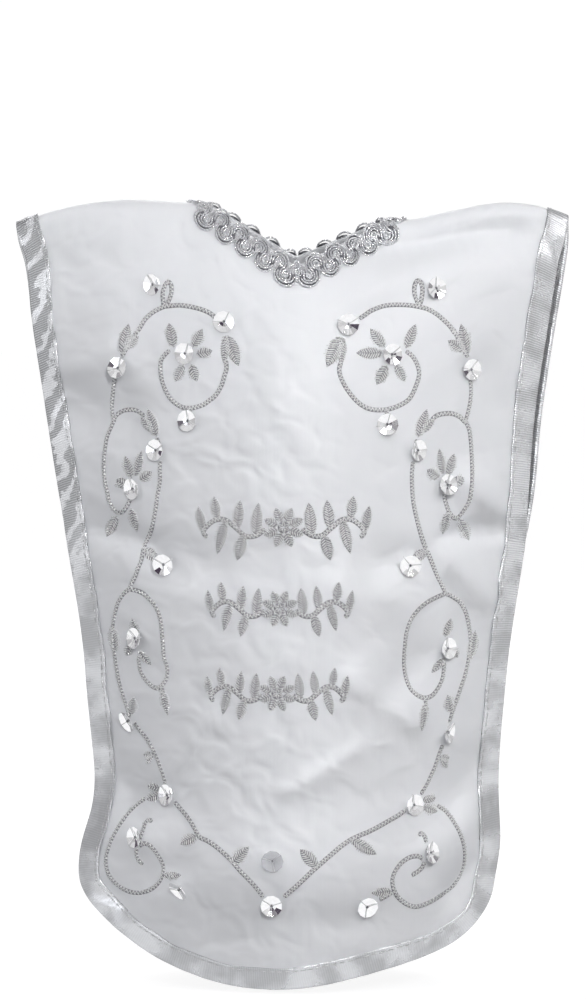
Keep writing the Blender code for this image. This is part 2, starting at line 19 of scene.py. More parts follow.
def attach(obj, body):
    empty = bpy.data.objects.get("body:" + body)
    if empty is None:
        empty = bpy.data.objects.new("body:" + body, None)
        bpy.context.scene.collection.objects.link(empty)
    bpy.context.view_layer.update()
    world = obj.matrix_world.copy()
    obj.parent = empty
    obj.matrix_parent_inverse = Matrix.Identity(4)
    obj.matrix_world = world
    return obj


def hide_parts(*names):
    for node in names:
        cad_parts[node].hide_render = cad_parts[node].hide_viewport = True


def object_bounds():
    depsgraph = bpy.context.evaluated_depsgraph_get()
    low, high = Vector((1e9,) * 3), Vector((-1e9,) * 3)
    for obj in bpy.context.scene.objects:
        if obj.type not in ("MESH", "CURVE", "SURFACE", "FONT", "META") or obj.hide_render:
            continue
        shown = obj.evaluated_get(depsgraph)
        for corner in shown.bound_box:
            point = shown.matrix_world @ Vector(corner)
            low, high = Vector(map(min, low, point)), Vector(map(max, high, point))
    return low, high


bl_info = {
    "name": "Wine Bottle Cover",
    "version": (1, 0, 0),
    "blender": (4, 5, 0),
    "location": "View3D > Sidebar > Bottle Cover",
    "description": "Builds the satin, ribbon, braid, embroidery and sequins of a bottle cover",
    "category": "Object",
}

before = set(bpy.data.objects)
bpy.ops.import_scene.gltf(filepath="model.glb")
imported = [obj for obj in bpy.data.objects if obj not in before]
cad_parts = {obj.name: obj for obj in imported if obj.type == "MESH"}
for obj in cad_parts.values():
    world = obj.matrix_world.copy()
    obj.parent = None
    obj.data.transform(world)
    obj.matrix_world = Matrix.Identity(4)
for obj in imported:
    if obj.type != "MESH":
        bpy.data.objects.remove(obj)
CAD_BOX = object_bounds()

MM = 0.001
FRONT = 1
BACK = -1
SIGHT_RISE = math.radians(4)  # the tables give heights as seen from this far above
PICTURE_HEIGHT = 0.32
CAMERA_DISTANCE = 2.4
AIM = Vector((-0.0003, 0.0, -0.0909))
LIT_SPOT = Vector((0.02, 0.0, -0.085))

# The draped form, as in the solids
FOLD_RADIUS = 2.6
BODY_RADIUS = 39.0
TENT_HEIGHT = 22.0
BOWED_SHARE = 0.5
SEWN_HALF_GAP = 1.8
SEWN_FROM = -98.0
SEWN_TO = -180.0
SEWN_EASE = 60.0
HEM_FROM = -196.0
HEM_DEPTH = 52.0
HEM_TURN_IN = 7.0
CORNER_FROM = -198.0
FLAP_FLARE = 5.0
FLAP_EASE = 36.0
FOLD_SETTLES = 12.0
FOLDS_FADE = 16.0
FOLDS_START = 8.0
SHOULDER_END = 88.0
SIDE_ROWS = 60
SIDE_CROWDING = 1.6
QUARTER_FOLD = FOLD_RADIUS * math.pi / 2

# x and height of the shoulder fold's crest
CREST = (
    (-89.3, -2.9), (-83.0, -0.6), (-70.0, 2.9), (-55.0, 4.8), (-51.0, 4.8), (-35.0, 3.9),
    (0.0, 0.6), (32.0, -1.9), (50.0, 1.2), (60.0, 3.2), (69.0, 3.8), (78.0, 2.6), (89.3, -1.3),
)

SIDES = (
    # height, left, right, back_past_left, back_past_right
    (5.0, 87.6, 86.2, 1.5, 2.0),
    (-3.0, 87.2, 85.6, 1.5, 2.4),
    (-9.0, 85.4, 84.6, 1.2, 2.6),
    (-18.0, 84.2, 83.0, 0.6, 2.8),
    (-31.0, 83.2, 81.0, 0.0, 2.6),
    (-53.0, 79.9, 77.5, 0.0, 2.6),
    (-67.0, 77.8, 75.8, 0.0, 2.4),
    (-85.0, 75.0, 74.5, 0.0, 2.2),
    (-98.0, 72.8, 73.7, 0.0, 1.1),
    (-104.0, 72.0, 73.4, 0.0, 0.0),
    (-124.0, 68.6, 70.3, 0.0, 0.0),
    (-139.0, 66.6, 68.1, 0.0, 0.0),
    (-152.0, 65.6, 66.8, 0.0, 0.0),
    (-168.0, 64.0, 65.4, 0.0, 0.0),
    (-180.0, 63.0, 64.8, 0.0, 0.0),
    (-190.0, 64.0, 65.0, 0.0, 0.0),
    (-200.0, 67.2, 65.6, 0.0, 0.0),
    (-208.0, 68.6, 65.8, 0.0, 0.0),
)

# x and height of the hem, from the left corner round to the right
HEM = (
    (-68.2, -212.6), (-64.8, -218.4), (-57.0, -225.8), (-47.0, -232.6), (-36.4, -237.6),
    (-22.4, -241.6), (-8.0, -242.8), (4.0, -242.2), (18.0, -239.8), (35.0, -235.8), (48.0, -231.6),
    (57.0, -225.6), (62.8, -217.2),
)

# Middle line of the braid before its corners are rounded
NECK_HALF_WIDTH = 37.0
NECK_MIDDLE = 0.6
NECK_FRONT = 21.4
NECK_BACK = 20.0
NECK_SHOULDER_RADIUS = 5.6
NECK_TIP_RADIUS = 5.2
NECK_CUT = 3.4  # the cut edge lies this far inside that line

FOLDS = (
    # start x, start height, end x, end height, width, height towards the viewer
    (22.0, -11.0, 66.0, -7.0, 7.0, -5.0),
    (20.0, -24.0, 66.0, -9.0, 5.0, 2.2),
    (-38.0, -8.0, -78.0, -18.0, 9.0, -2.4),
    (-56.0, -43.0, -76.0, -50.0, 5.0, 2.6),
    (-56.0, -62.0, -73.0, -66.0, 9.0, -3.0),
    (58.0, -48.0, 70.0, -62.0, 8.0, -2.4),
    (56.0, -84.0, 67.0, -92.0, 6.0, 3.2),
    (48.0, -101.0, 68.0, -98.0, 4.0, -3.4),
    (44.0, -102.0, 66.0, -128.0, 5.0, 3.6),
    (62.0, -106.0, 70.0, -112.0, 5.0, -2.4),
    (-44.0, -104.0, -68.0, -97.0, 6.0, -2.6),
    (-38.0, -118.0, -46.0, -130.0, 8.0, 2.2),
    (16.0, -118.0, 38.0, -122.0, 7.0, 1.8),
    (-40.0, -110.0, -10.0, -108.0, 8.0, -1.6),
    (28.0, -108.0, 44.0, -104.0, 6.0, -2.0),
    (20.0, -146.0, 38.0, -158.0, 6.0, 2.2),
    (38.0, -140.0, 30.0, -150.0, 6.0, -1.8),
    (-41.0, -176.0, -27.0, -158.0, 4.0, 1.6),
    (-3.0, -180.0, 21.0, -168.0, 4.5, 1.2),
    (-62.0, -170.0, -52.0, -186.0, 7.0, -2.6),
    (64.0, -172.0, 50.0, -184.0, 7.0, -2.4),
    (-66.0, -192.0, -48.0, -196.0, 7.0, 2.4),
    (66.0, -200.0, 50.0, -214.0, 5.0, -3.0),
    (60.0, -192.0, 46.0, -200.0, 6.0, 2.2),
    (-56.0, -216.0, -40.0, -204.0, 7.0, -2.2),
    (-20.0, -222.0, 26.0, -220.0, 10.0, -1.6),
)
BACK_FOLDS = (
    (-30.0, -40.0, -50.0, -170.0, 12.0, -2.0),
    (36.0, -60.0, 22.0, -200.0, 13.0, -1.8),
    (-60.0, -180.0, -30.0, -224.0, 10.0, 2.0),
)

# Creases too fine for the solids, as in FOLDS
FINE_FOLDS = (
    (-74.0, -42.0, -58.0, -38.0, 2.2, 0.45),
    (-70.0, -12.0, -54.0, -26.0, 3.0, 0.4),
    (22.0, -17.0, 60.0, -9.0, 2.4, 0.6),
    (58.0, -88.0, 70.0, -96.0, 2.0, 0.6),
    (50.0, -104.0, 70.0, -101.0, 1.8, -0.7),
    (46.0, -104.0, 64.0, -124.0, 2.0, 0.6),
    (-44.0, -103.0, -66.0, -100.0, 2.2, -0.6),
    (-36.0, -174.0, -28.0, -160.0, 1.8, 0.5),
    (-2.0, -180.0, 20.0, -168.0, 2.0, 0.5),
    (-58.0, -178.0, -50.0, -184.0, 2.0, -0.5),
    (58.0, -176.0, 50.0, -182.0, 2.0, -0.5),
    (22.0, -150.0, 36.0, -160.0, 2.4, 0.5),
    (56.0, -206.0, 48.0, -214.0, 2.0, -0.6),
    (-52.0, -218.0, -42.0, -208.0, 2.4, -0.5),
)

# The embroidered vine: each stem is a run of x and height, seen from the front
STEMS_LEFT = (
    ((-24.3, -33.6), (-26.2, -32), (-28.2, -31), (-31, -30.1), (-35.5, -29.3), (-38.7, -29.4),
     (-41.3, -29.8), (-44.5, -31.4), (-46.7, -33.3), (-48, -35.2), (-49.3, -37.4)),
    ((-41, -29.4), (-41.3, -27.2), (-41.3, -25), (-40.6, -22.7), (-39.7, -21.8), (-38.7, -23),
     (-38.7, -25.6), (-40, -29.1)),
    ((-49.6, -37.4), (-51.2, -40.3), (-53.1, -42.9), (-54.4, -45.4)),
    ((-56.6, -51.8), (-57, -54.1), (-57.3, -57), (-57.6, -60.8), (-57.3, -65)),
    ((-21.4, -46.7), (-21.1, -49.3), (-21.8, -51.8), (-22.7, -54.7), (-24.6, -57.9),
     (-26.6, -59.5), (-28.5, -60.8), (-32.3, -61.8), (-35.5, -61.3), (-38.7, -58.9), (-41, -54.7),
     (-41.9, -50.9), (-41.9, -47), (-40.6, -44.8), (-39, -43.5)),
    ((-32.6, -61.8), (-32.6, -63.7)),
    ((-56.6, -65), (-57.9, -67.8), (-59.2, -71), (-59.8, -74.6), (-60.2, -78.4), (-60.2, -81.9),
     (-59.8, -85.1), (-59.2, -88), (-58.6, -90.9), (-57.3, -93.4), (-55.7, -95)),
    ((-55.7, -95), (-54.1, -94.4), (-52.8, -92.8), (-51.5, -90.2)),
    ((-57.3, -65.6), (-56, -63.7), (-53.8, -62.4), (-51.2, -62.1), (-49, -62.7), (-47, -64.3)),
    ((-43.2, -71), (-42.2, -74.2)),
    ((-42.2, -78.4), (-42.2, -81.6), (-42.2, -85.1), (-42.9, -89), (-43.5, -93.1), (-44.2, -97),
     (-45.1, -100.5), (-46.4, -103.4), (-47.4, -105.9)),
    ((-47.6, -106.2), (-48.3, -110.1), (-49.3, -112.6), (-50.2, -115.2), (-51.5, -117.8),
     (-52.2, -119.4)),
    ((-47.4, -106.6), (-45.4, -107.5), (-43.5, -108.8)),
    ((-52.2, -119.4), (-49.9, -119.7), (-47.7, -120.6), (-45.8, -122.2), (-43.8, -124.5),
     (-42.6, -127), (-41.9, -129.9), (-41.6, -133.4), (-41.3, -137.3), (-41, -140.8), (-40, -144),
     (-40, -146.9), (-41, -149.1), (-42.6, -150.7), (-44.5, -150.4), (-46.1, -149.1),
     (-47.4, -147.5), (-48.6, -145.3), (-49, -142.7), (-49, -140.5)),
    ((-52.2, -119.4), (-53.8, -120.6), (-55.4, -122.9), (-56.3, -125.4), (-57, -128.6),
     (-57.6, -132.5), (-57.6, -136.3), (-57, -140.2), (-56.3, -144.6), (-55.4, -149.4),
     (-54.1, -153.9), (-52.8, -157.8), (-52.3, -160.6)),
    ((-41.6, -150.4), (-41.3, -152.3), (-41, -154.2)),
    ((-50.6, -161.9), (-49, -164.2), (-47, -166.4), (-45.4, -169), (-44.2, -171.2),
     (-43.2, -173.4), (-42.2, -176), (-41.3, -178.6), (-40.6, -181.1)),
    ((-44.2, -172.2), (-45.4, -172.5), (-46.7, -173.1)),
    ((-47, -186.2), (-49.9, -188.5), (-53.4, -192.3), (-56.6, -197.1), (-58.9, -202.2),
     (-59.8, -206.7), (-58.6, -211.2), (-55, -214.7), (-51.2, -216.2), (-47.4, -216),
     (-43.8, -214.1), (-41.6, -210.9), (-41.3, -207.4), (-42.9, -204.2), (-45.1, -201.3),
     (-47.4, -200.3), (-49, -201.3)),
    ((-49, -199.7), (-47.7, -196.2), (-47, -193.9), (-45.8, -193.1), (-44.8, -193.6)),
    ((-49.8, -201.9), (-49.8, -204.5), (-48.6, -206.4), (-47.7, -206.4)),
    ((-37.8, -186.9), (-35.5, -189.4), (-33.3, -192), (-31.4, -194.9), (-29.8, -197.8),
     (-27.2, -199), (-24.6, -200.6), (-21.8, -202.9), (-19.2, -205.4), (-17, -208),
     (-14.4, -210.6), (-11.8, -213.4), (-9.6, -216.3)),
    ((-40.6, -210.2), (-38.7, -210.2), (-36.8, -210.6)),
)
STEMS_RIGHT = (
    ((20.5, -33.6), (22.4, -32.3), (24.3, -31), (28.5, -29.4), (33, -29.1), (37.1, -29.3),
     (41.3, -30.1), (43.5, -31), (45.8, -32.5), (49, -35.4), (50.9, -38.1)),
    ((39.4, -29.4), (38.1, -25.6), (38.1, -23), (39, -21.4), (40, -21.8), (40.6, -24),
     (40.3, -26.9), (39.7, -29.1)),
    ((50.2, -36.5), (51.8, -39.4), (53.4, -42.6), (55, -45.4)),
    ((55.7, -52.8), (56, -55.7), (55.7, -59.5), (55, -63), (54.1, -66.2)),
    ((14.7, -47.4), (14.1, -49.9), (15, -53.1), (17, -56.6), (20.2, -60.2), (23.7, -62.1),
     (28.2, -62.4), (32.3, -61.3), (36.2, -58.9), (38.4, -54.7), (39.4, -50.9), (38.7, -47.7),
     (37.1, -45.1), (35.2, -43.8)),
    ((29.1, -62.1), (29.1, -63.7)),
    ((54.1, -65.6), (55.4, -68.5), (56, -73.3), (56.3, -79), (56.3, -84.5), (55.7, -90.6),
     (52.8, -95.3), (50.9, -96.5), (49, -94.6), (47.7, -90.9), (47.4, -88.6)),
    ((54.1, -66.2), (52.2, -64.3), (49.9, -63.4), (47.7, -63.4), (45.1, -64), (43.2, -65.6)),
    ((38.7, -71.7), (38.1, -74.2)),
    ((37.4, -78.7), (37.1, -81.9), (37.1, -85.8), (37.4, -90.2), (38.1, -94.4), (39.4, -99.5),
     (41, -104.3), (41.9, -106.6)),
    ((42, -106.8), (43.8, -111), (45.1, -114.6), (46.7, -117.8), (48, -120.6)),
    ((41.6, -106.6), (40, -107.5), (38.4, -108.5)),
    ((48, -120.6), (45.4, -121.6), (42.2, -123.2), (39.4, -125.4), (37.1, -128.3), (35.5, -132.5),
     (34.9, -136.6), (34.6, -140.5), (34.6, -143.4), (35.2, -147.2), (36.8, -151), (39.4, -153.3),
     (41.6, -153.9), (43.8, -153), (45.8, -150.4), (47, -147.5), (47.4, -144.6), (47.4, -141.4)),
    ((48, -120.6), (50.2, -121.6), (52.5, -123.2), (54.1, -125.8), (55, -128.6), (55.7, -132.5),
     (56, -136.3), (55.7, -139.5), (55, -143.4), (54.1, -147.2), (52.8, -151), (51.5, -154.9),
     (50.2, -158.4), (49.2, -161.8)),
    ((41.3, -153.9), (41.6, -156.2), (41.6, -158.1)),
    ((47, -169), (45.8, -172.2), (44.5, -176), (42.9, -179.5), (41.6, -182.1), (40, -184.6)),
    ((45.4, -173.1), (47, -173.4), (48.6, -174.4)),
    ((45.4, -188.5), (48.3, -190.7), (51.5, -195.2), (53.4, -199.7), (54.1, -204.2), (53.4, -209),
     (50.6, -214.1), (46.1, -217.3), (41.6, -219.5), (38.1, -220.2), (34.9, -218.9),
     (32.3, -216.3), (31, -212.8), (31.4, -209.6), (33.6, -206.4), (36.5, -204.5), (39.4, -204.2),
     (40.6, -205.1)),
    ((41.9, -200), (41.3, -198.1), (40.3, -197.1), (39.4, -197.8)),
    ((41.3, -206.1), (40.3, -208), (38.7, -209.3), (37.1, -210.2)),
    ((35.2, -189.4), (33, -191), (30.1, -192.6), (27.2, -194.2), (24, -195.8), (20.8, -197.1),
     (17.9, -198.4), (15, -200.3), (12.2, -202.6), (9.6, -204.8), (7.4, -206.7), (4.8, -209),
     (2.2, -211.5), (-0.3, -213.8), (-3.2, -216.3)),
    ((31, -215.4), (28.8, -216.6), (26.9, -217.6)),
)
LEAVES_LEFT = (
    # base x, base height, tip x, tip height, width
    (-54.4, -44.8, -52.2, -34.9, 4.2), (-53.8, -42.9, -49, -39, 3.5),
    (-37.8, -42.6, -39.4, -34.9, 3.8), (-21.4, -39, -21.8, -48.3, 2.9),
    (-20.8, -39, -17.3, -48.6, 4.5), (-31.7, -42.6, -28.8, -36.8, 3.5),
    (-30.7, -44.8, -25.6, -43.8, 3.5), (-32.3, -48, -30.4, -53.4, 3.5),
    (-34.6, -48, -37.4, -53.4, 3.2), (-43.2, -70.7, -46.1, -61.8, 3.8),
    (-44.5, -69.1, -48.3, -64.6, 2.9), (-51.2, -83.8, -53.4, -76.8, 3.5),
    (-49.9, -83.2, -48, -75.2, 2.9), (-48.6, -84.5, -44.8, -81.9, 3.5),
    (-52.8, -86.4, -56.3, -84.5, 3.8), (-56, -95.7, -59.5, -102.7, 3.8),
    (-51.5, -93.4, -49.6, -100.8, 3.2), (-47.4, -106.6, -42.9, -108.8, 2.9),
    (-47.4, -107.8, -43.5, -110.4, 2.2), (-56.3, -139.2, -57.9, -130.6, 3.5),
    (-49.3, -134.4, -51.2, -128.6, 2.9), (-51.5, -137, -53.1, -140.5, 2.6),
    (-49, -138.9, -45.1, -143.4, 2.6), (-41.6, -151, -39.7, -159.4, 2.9),
    (-51.8, -159.7, -50.6, -153.6, 3.2), (-44.5, -172.2, -47.7, -172.2, 2.2),
    (-44.8, -172.5, -46.7, -175, 1.9), (-41.9, -182.7, -46.4, -182.1, 2.9),
    (-41.9, -184.6, -46.7, -186.6, 3.2), (-30.4, -197.4, -35.8, -200.3, 3.5),
    (-19.5, -206.1, -14.1, -200.6, 3.8), (-41, -210.6, -35.5, -210.2, 2.6),
)
LEAVES_RIGHT = (
    # base x, base height, tip x, tip height, width
    (54.7, -44.8, 52.8, -34.9, 4.2), (53.8, -43.2, 48.6, -40.3, 3.5),
    (35.2, -42.9, 38.4, -35.2, 3.5), (15, -39.4, 14.7, -48.6, 2.9), (14.7, -39.4, 10.2, -49, 4.8),
    (28.5, -42.6, 24, -36.8, 3.8), (27.8, -44.5, 19.5, -44.5, 3.8), (29.1, -48.3, 25.9, -54.4, 3.8),
    (32, -48, 34.9, -53.4, 3.2), (39, -71, 41.9, -62.1, 3.8), (40, -69.4, 44.2, -65, 2.9),
    (48.6, -83.2, 50.6, -76.2, 3.5), (47, -82.6, 45.8, -74.6, 2.9), (45.8, -83.8, 41.9, -81.3, 3.5),
    (50.6, -85.8, 53.8, -83.8, 3.8), (52.2, -96.6, 55.4, -104, 3.8),
    (48.6, -94.4, 46.7, -101.8, 3.2), (41.6, -106.6, 37.4, -108.8, 2.9),
    (41.9, -107.8, 38.1, -110.4, 2.2), (55.7, -141.8, 57.6, -132.5, 3.2),
    (47.7, -134.4, 49.6, -128.6, 2.9), (49.9, -137.6, 51.8, -141.1, 2.6),
    (47.4, -141.4, 43.5, -145.9, 2.6), (41.3, -155.5, 40.3, -164.2, 2.9),
    (49.6, -158.7, 48.6, -153, 3.2), (46.1, -173.1, 49.3, -173.1, 2.2),
    (46.4, -173.4, 48.6, -176.3, 1.9), (40.6, -186.6, 44.8, -185.9, 2.9),
    (40.6, -188.5, 45.4, -190.4, 3.2), (17.9, -198.4, 25.9, -203.2, 3.8),
    (7.4, -207, 1.9, -201.3, 4.2), (30.7, -215, 24.3, -215.4, 2.9),
)

# The ornament in the middle of the front: three rows, each a flower with a spray on either side
ORNAMENT_ROWS = (
    # middle x, height, half width, petal length
    (-3.2, -99.5, 26.0, 6.6),
    (-4.4, -125.2, 22.0, 6.0),
    (-5.2, -152.0, 21.5, 6.0),
)
# One side of a row for a half width of 1: stem, then leaves as in LEAVES_LEFT
SPRAY_STEM = (
    (0.22, -0.02), (0.34, -0.10), (0.46, -0.10), (0.58, 0.0), (0.70, 0.09), (0.82, 0.09),
    (0.92, 0.02), (0.97, -0.06), (0.92, -0.12),
)
SPRAY_LEAVES = (
    (0.34, -0.10, 0.30, 0.30, 0.15), (0.48, -0.09, 0.56, -0.40, 0.15),
    (0.56, -0.02, 0.52, 0.33, 0.14), (0.70, 0.09, 0.80, -0.32, 0.14),
    (0.80, 0.10, 0.84, 0.38, 0.13), (0.97, -0.05, 1.03, 0.26, 0.12),
)
PETALS = 8
LEAF_THREAD = 1.2  # how much thicker the leaves' threads are than the stems'
SPRAY_SHARE = 1.1  # the width of the sprays' stems as a share of the vine's

# Faint waves all over the cloth: turns across and up per mm, start, share of the height
UNREST = (
    (0.21, 0.11, 0.7, 1.0), (-0.13, 0.24, 2.1, 1.0), (0.37, -0.31, 0.0, 0.6),
    (0.09, 0.47, 1.0, 0.5), (0.055, 0.06, 2.6, 2.4), (-0.08, 0.045, 0.3, 2.0),
    (0.16, -0.13, 4.0, 1.3),
)

CLOTH_FACE = 0.45  # from the middle of the satin to its face
RIBBON_GAP = 0.15
RIBBON_REST = CLOTH_FACE + RIBBON_GAP
RIBS_FADE = (95.0, 130.0, 430.0, 480.0)  # along the ribbon, ribs are drawn flat between these
SEAM_INSIDE = 1.1  # the seam lies this far inside the ribbon's inner edge
WHIP_SPACING = 7.0
BRAID_REST = 0.5  # from the middle of the satin to the underside of the braid's cords
BRAID_TRIM = 1.2
EDGE_STEP = 0.4
NECK_FINE = 0.25
EDGE_ROUNDING = 2.6  # the outline's corners are eased over about this length
STEM_STEP = 0.1
STEM_UNEVEN = 0.09  # how much the stitches' lengths differ, as a share
LEAF_UNEVEN = 0.07
LEAF_SLANT = 0.62  # how far a leaf's stitch runs forward for each step outward
VINE_SEED = 11
ORNAMENT_SEED = 17
FRAY_SEED = 5
CORD_TWIST = {"twist": 2.6, "depth": 0.13}  # turns per mm and depth of a cord's strands
CORE_WAVE = 3.75
# The ribbon's painted highlight streaks: their spacing, and how far the foil's tone bends them
STREAK_SPACING = 13.0
STREAK_BEND = 46.0  # how far the foil's tone moves a streak
THREAD_GROOVE = 0.06
STITCH_SHARES = np.linspace(0.0, 1.0, 5)
SEQUIN_RADIUS = 3.5
SEQUIN_CUP = 0.75
SEQUIN_WALL = 0.16
SEQUIN_TURN = 0.37  # each is turned this much further than the one before
SEQUIN_SUNK = 0.1  # the foil's underside below the solid's middle
KNOT_STEPS = 12
FRONT_BEAM = 26  # degrees
FLOOR_HALF_SIZE = 4.0
WHITE = (1.0, 1.0, 1.0, 1.0)


def smooth(value):
    """Smooth step from 0 to 1."""
    share = np.clip(value, 0.0, 1.0)
    return share * share * (3 - 2 * share)


def tide(turn):
    """From 0 to 1 and back as a sine."""
    return 0.5 + 0.5 * np.sin(turn)


def curve_through(rows, column):
    """A function that runs smoothly through one column of a table, keyed by its first."""
    keys = np.array([row[0] for row in rows], float)
    values = np.array([row[column] for row in rows], float)
    if keys[0] > keys[-1]:
        keys = keys[::-1]
        values = values[::-1]
    last = len(keys) - 1
    order = np.arange(last + 1)
    before = np.maximum(order - 1, 0)
    after = np.minimum(order + 1, last)
    slopes = (values[after] - values[before]) / (keys[after] - keys[before])

    def value_at(where):
        where = np.clip(where, keys[0], keys[-1])
        cell = np.clip(np.searchsorted(keys, where, side="right") - 1, 0, last - 1)
        span = keys[cell + 1] - keys[cell]
        share = (where - keys[cell]) / span
        square = share * share
        cube = square * share
        return (
            (2 * cube - 3 * square + 1) * values[cell]
            + (cube - 2 * square + share) * span * slopes[cell]
            + (3 * square - 2 * cube) * values[cell + 1]
            + (cube - square) * span * slopes[cell + 1]
        )

    return value_at


crest = curve_through(CREST, 1)
side_columns = [curve_through(SIDES, column) for column in (1, 2, 3, 4)]


def half_width(x, height, panel):
    """How far the side edge that x is nearer to is from the middle."""
    left, right, past_left, past_right = (column(height) for column in side_columns)
    width = np.where(x < 0, left, right)
    return width + np.where(panel == BACK, np.where(x < 0, past_left, past_right), 0.0)


def fold_height(x, height, folds):
    """Sum of the ridges and troughs at points of the cloth."""
    total = np.zeros_like(x)
    for x0, z0, x1, z1, width, rise in folds:
        along = (x1 - x0, z1 - z0)
        share = ((x - x0) * along[0] + (height - z0) * along[1]) / (along[0] ** 2 + along[1] ** 2)
        share = np.clip(share, 0.0, 1.0)
        off = np.hypot(x - x0 - share * along[0], height - z0 - share * along[1])
        total += rise * np.exp(-((off / width) ** 2))
    return total


def round_depth(x, radius, width):
    """Depth of cloth round the middle, between drawn straight to its edges and bowed."""
    drawn = np.where(
        np.abs(x) < radius * radius / width,
        np.sqrt(np.maximum(radius * radius - x * x, 0.0)),
        (width - np.abs(x)) * radius / np.sqrt(width * width - radius * radius),
    )
    bowed = radius * (1 - (x / width) ** 2)
    return drawn + (bowed - drawn) * BOWED_SHARE


def edge_gap(height):
    """How far a side edge lies from the plane between front and back."""
    upper = smooth((height - SEWN_FROM) / SEWN_EASE)
    sewn = SEWN_HALF_GAP + (FOLD_RADIUS - SEWN_HALF_GAP) * upper
    free = SEWN_HALF_GAP + FLAP_FLARE * smooth((SEWN_TO - height) / FLAP_EASE)
    return np.where(height > SEWN_TO, sewn, free)


def ripples(x, height, to_side, to_hem):
    """Small puckers: drawn by the binding's stitches, and a faint unrest everywhere."""
    cloth = bpy.context.scene.bottle_cover_cloth
    side = np.sin(height * 0.60 + 1.4 * np.sin(height * 0.17)) * np.exp(-to_side / 6.5)
    hem = np.sin(x * 0.66 + 1.3 * np.sin(x * 0.19)) * np.exp(-to_hem / 6.0)
    bent = x + 5.0 * np.sin(height * 0.071 + 0.6)
    raised = height + 6.0 * np.sin(x * 0.063 + 1.9)
    unrest = sum(
        size * np.sin(bent * across + raised * up + start)
        for across, up, start, size in UNREST
    )
    return (cloth.pucker * (side + hem) + cloth.unrest * unrest) / MM


def draped(x, down):
    """Places of the cloth's middle as rows of x, y, z."""
    x = np.asarray(x, float)
    down = np.asarray(down, float)
    panel = np.where(down >= 0, FRONT, BACK)
    away = np.abs(down)
    turn = np.minimum(away, QUARTER_FOLD) / FOLD_RADIUS
    past = np.maximum(away - QUARTER_FOLD, 0.0)
    drop = FOLD_RADIUS * (1 - np.cos(turn)) + past
    out = FOLD_RADIUS * np.sin(turn)
    height = crest(x) - drop
    out += (edge_gap(height) - out) * smooth((drop - FOLD_RADIUS) / FOLD_SETTLES)
    radius = BODY_RADIUS * (1 - np.exp(-drop / TENT_HEIGHT))
    radius -= HEM_TURN_IN * smooth((HEM_FROM - height) / HEM_DEPTH)
    width = half_width(x, height, panel)
    out += round_depth(x, radius, width)
    relief = np.where(
        panel == FRONT, fold_height(x, height, FOLDS), fold_height(x, height, BACK_FOLDS)
    )
    out += relief * smooth((width + 1 - np.abs(x)) / FOLDS_FADE) * smooth(drop / FOLDS_START)
    fine = np.where(panel == FRONT, fold_height(x, height, FINE_FOLDS), 0.0)
    to_hem = np.maximum(height - hem_height(x), 0.0)
    fine += ripples(x, height, np.maximum(width - np.abs(x), 0.0), to_hem)
    out += fine * smooth(drop / FOLDS_START)
    return np.stack((x, -panel * out, height), axis=-1)


def hem_height(x):
    """Height of the hem below a place."""
    keys, heights = np.array(HEM).T
    return np.interp(x, keys, heights)


def facing(x, down):
    """Outward normals of the cloth."""
    step = 0.25
    across = draped(x + step, down) - draped(x - step, down)
    along = draped(x, down + step) - draped(x, down - step)
    return unit(np.cross(across, -along))


def on_cloth(spots):
    """Places of the cloth's middle and its outward normals at rows of x and down."""
    x, down = spots[..., 0], spots[..., 1]
    return draped(x, down), facing(x, down)


def unit(rows):
    return rows / np.maximum(np.linalg.norm(rows, axis=-1, keepdims=True), 1e-9)


def down_at(x, height, panel):
    """Way down from the fold to a given height."""
    drop = crest(x) - height
    turned = FOLD_RADIUS * np.arccos(np.clip(1 - drop / FOLD_RADIUS, -1.0, 1.0))
    return panel * np.where(drop < FOLD_RADIUS, turned, QUARTER_FOLD + drop - FOLD_RADIUS)


def seen_at(points):
    """Places on the front cloth of points given by x and height as the viewer sees them."""
    points = np.asarray(points, float)
    x, seen = points[:, 0], points[:, 1]
    height = seen
    for _ in range(4):
        depth = draped(x, down_at(x, height, FRONT))[:, 1]
        height = seen - depth * math.tan(SIGHT_RISE)
    return np.stack((x, down_at(x, height, FRONT)), axis=1)


def evenly(points, step, closed=False):
    """Points about a step apart along a line, its end kept unless it is closed."""
    points = np.asarray(points, float)
    if closed:
        points = np.vstack((points, points[:1]))
    lengths = np.concatenate(([0.0], np.cumsum(np.linalg.norm(np.diff(points, axis=0), axis=1))))
    count = max(2, round(lengths[-1] / step))
    at = np.linspace(0.0, lengths[-1], count + 1)
    if closed:
        at = at[:-1]
    return np.stack([np.interp(at, lengths, points[:, k]) for k in (0, 1)], axis=1)


def curved(points, steps):
    """A smooth line through points or places, in so many steps from each to the next."""
    points = np.asarray(points, float)
    keyed = [(i, *point) for i, point in enumerate(points)]
    at = np.linspace(0, len(points) - 1, (len(points) - 1) * steps + 1)
    columns = range(1, points.shape[1] + 1)
    return np.stack([curve_through(keyed, column)(at) for column in columns], axis=1)


def rounded(points, step):
    """A smooth line through the points, evenly divided."""
    return evenly(curved(points, 12), step)


def sideways(line, closed=False, reach=1):
    """Unit vectors to the left of a line, taken over a few points either way."""
    if closed:
        ahead = np.roll(line, -reach, axis=0) - np.roll(line, reach, axis=0)
    else:
        ahead = np.gradient(line, axis=0)
    return unit(np.stack((-ahead[:, 1], ahead[:, 0]), axis=1))


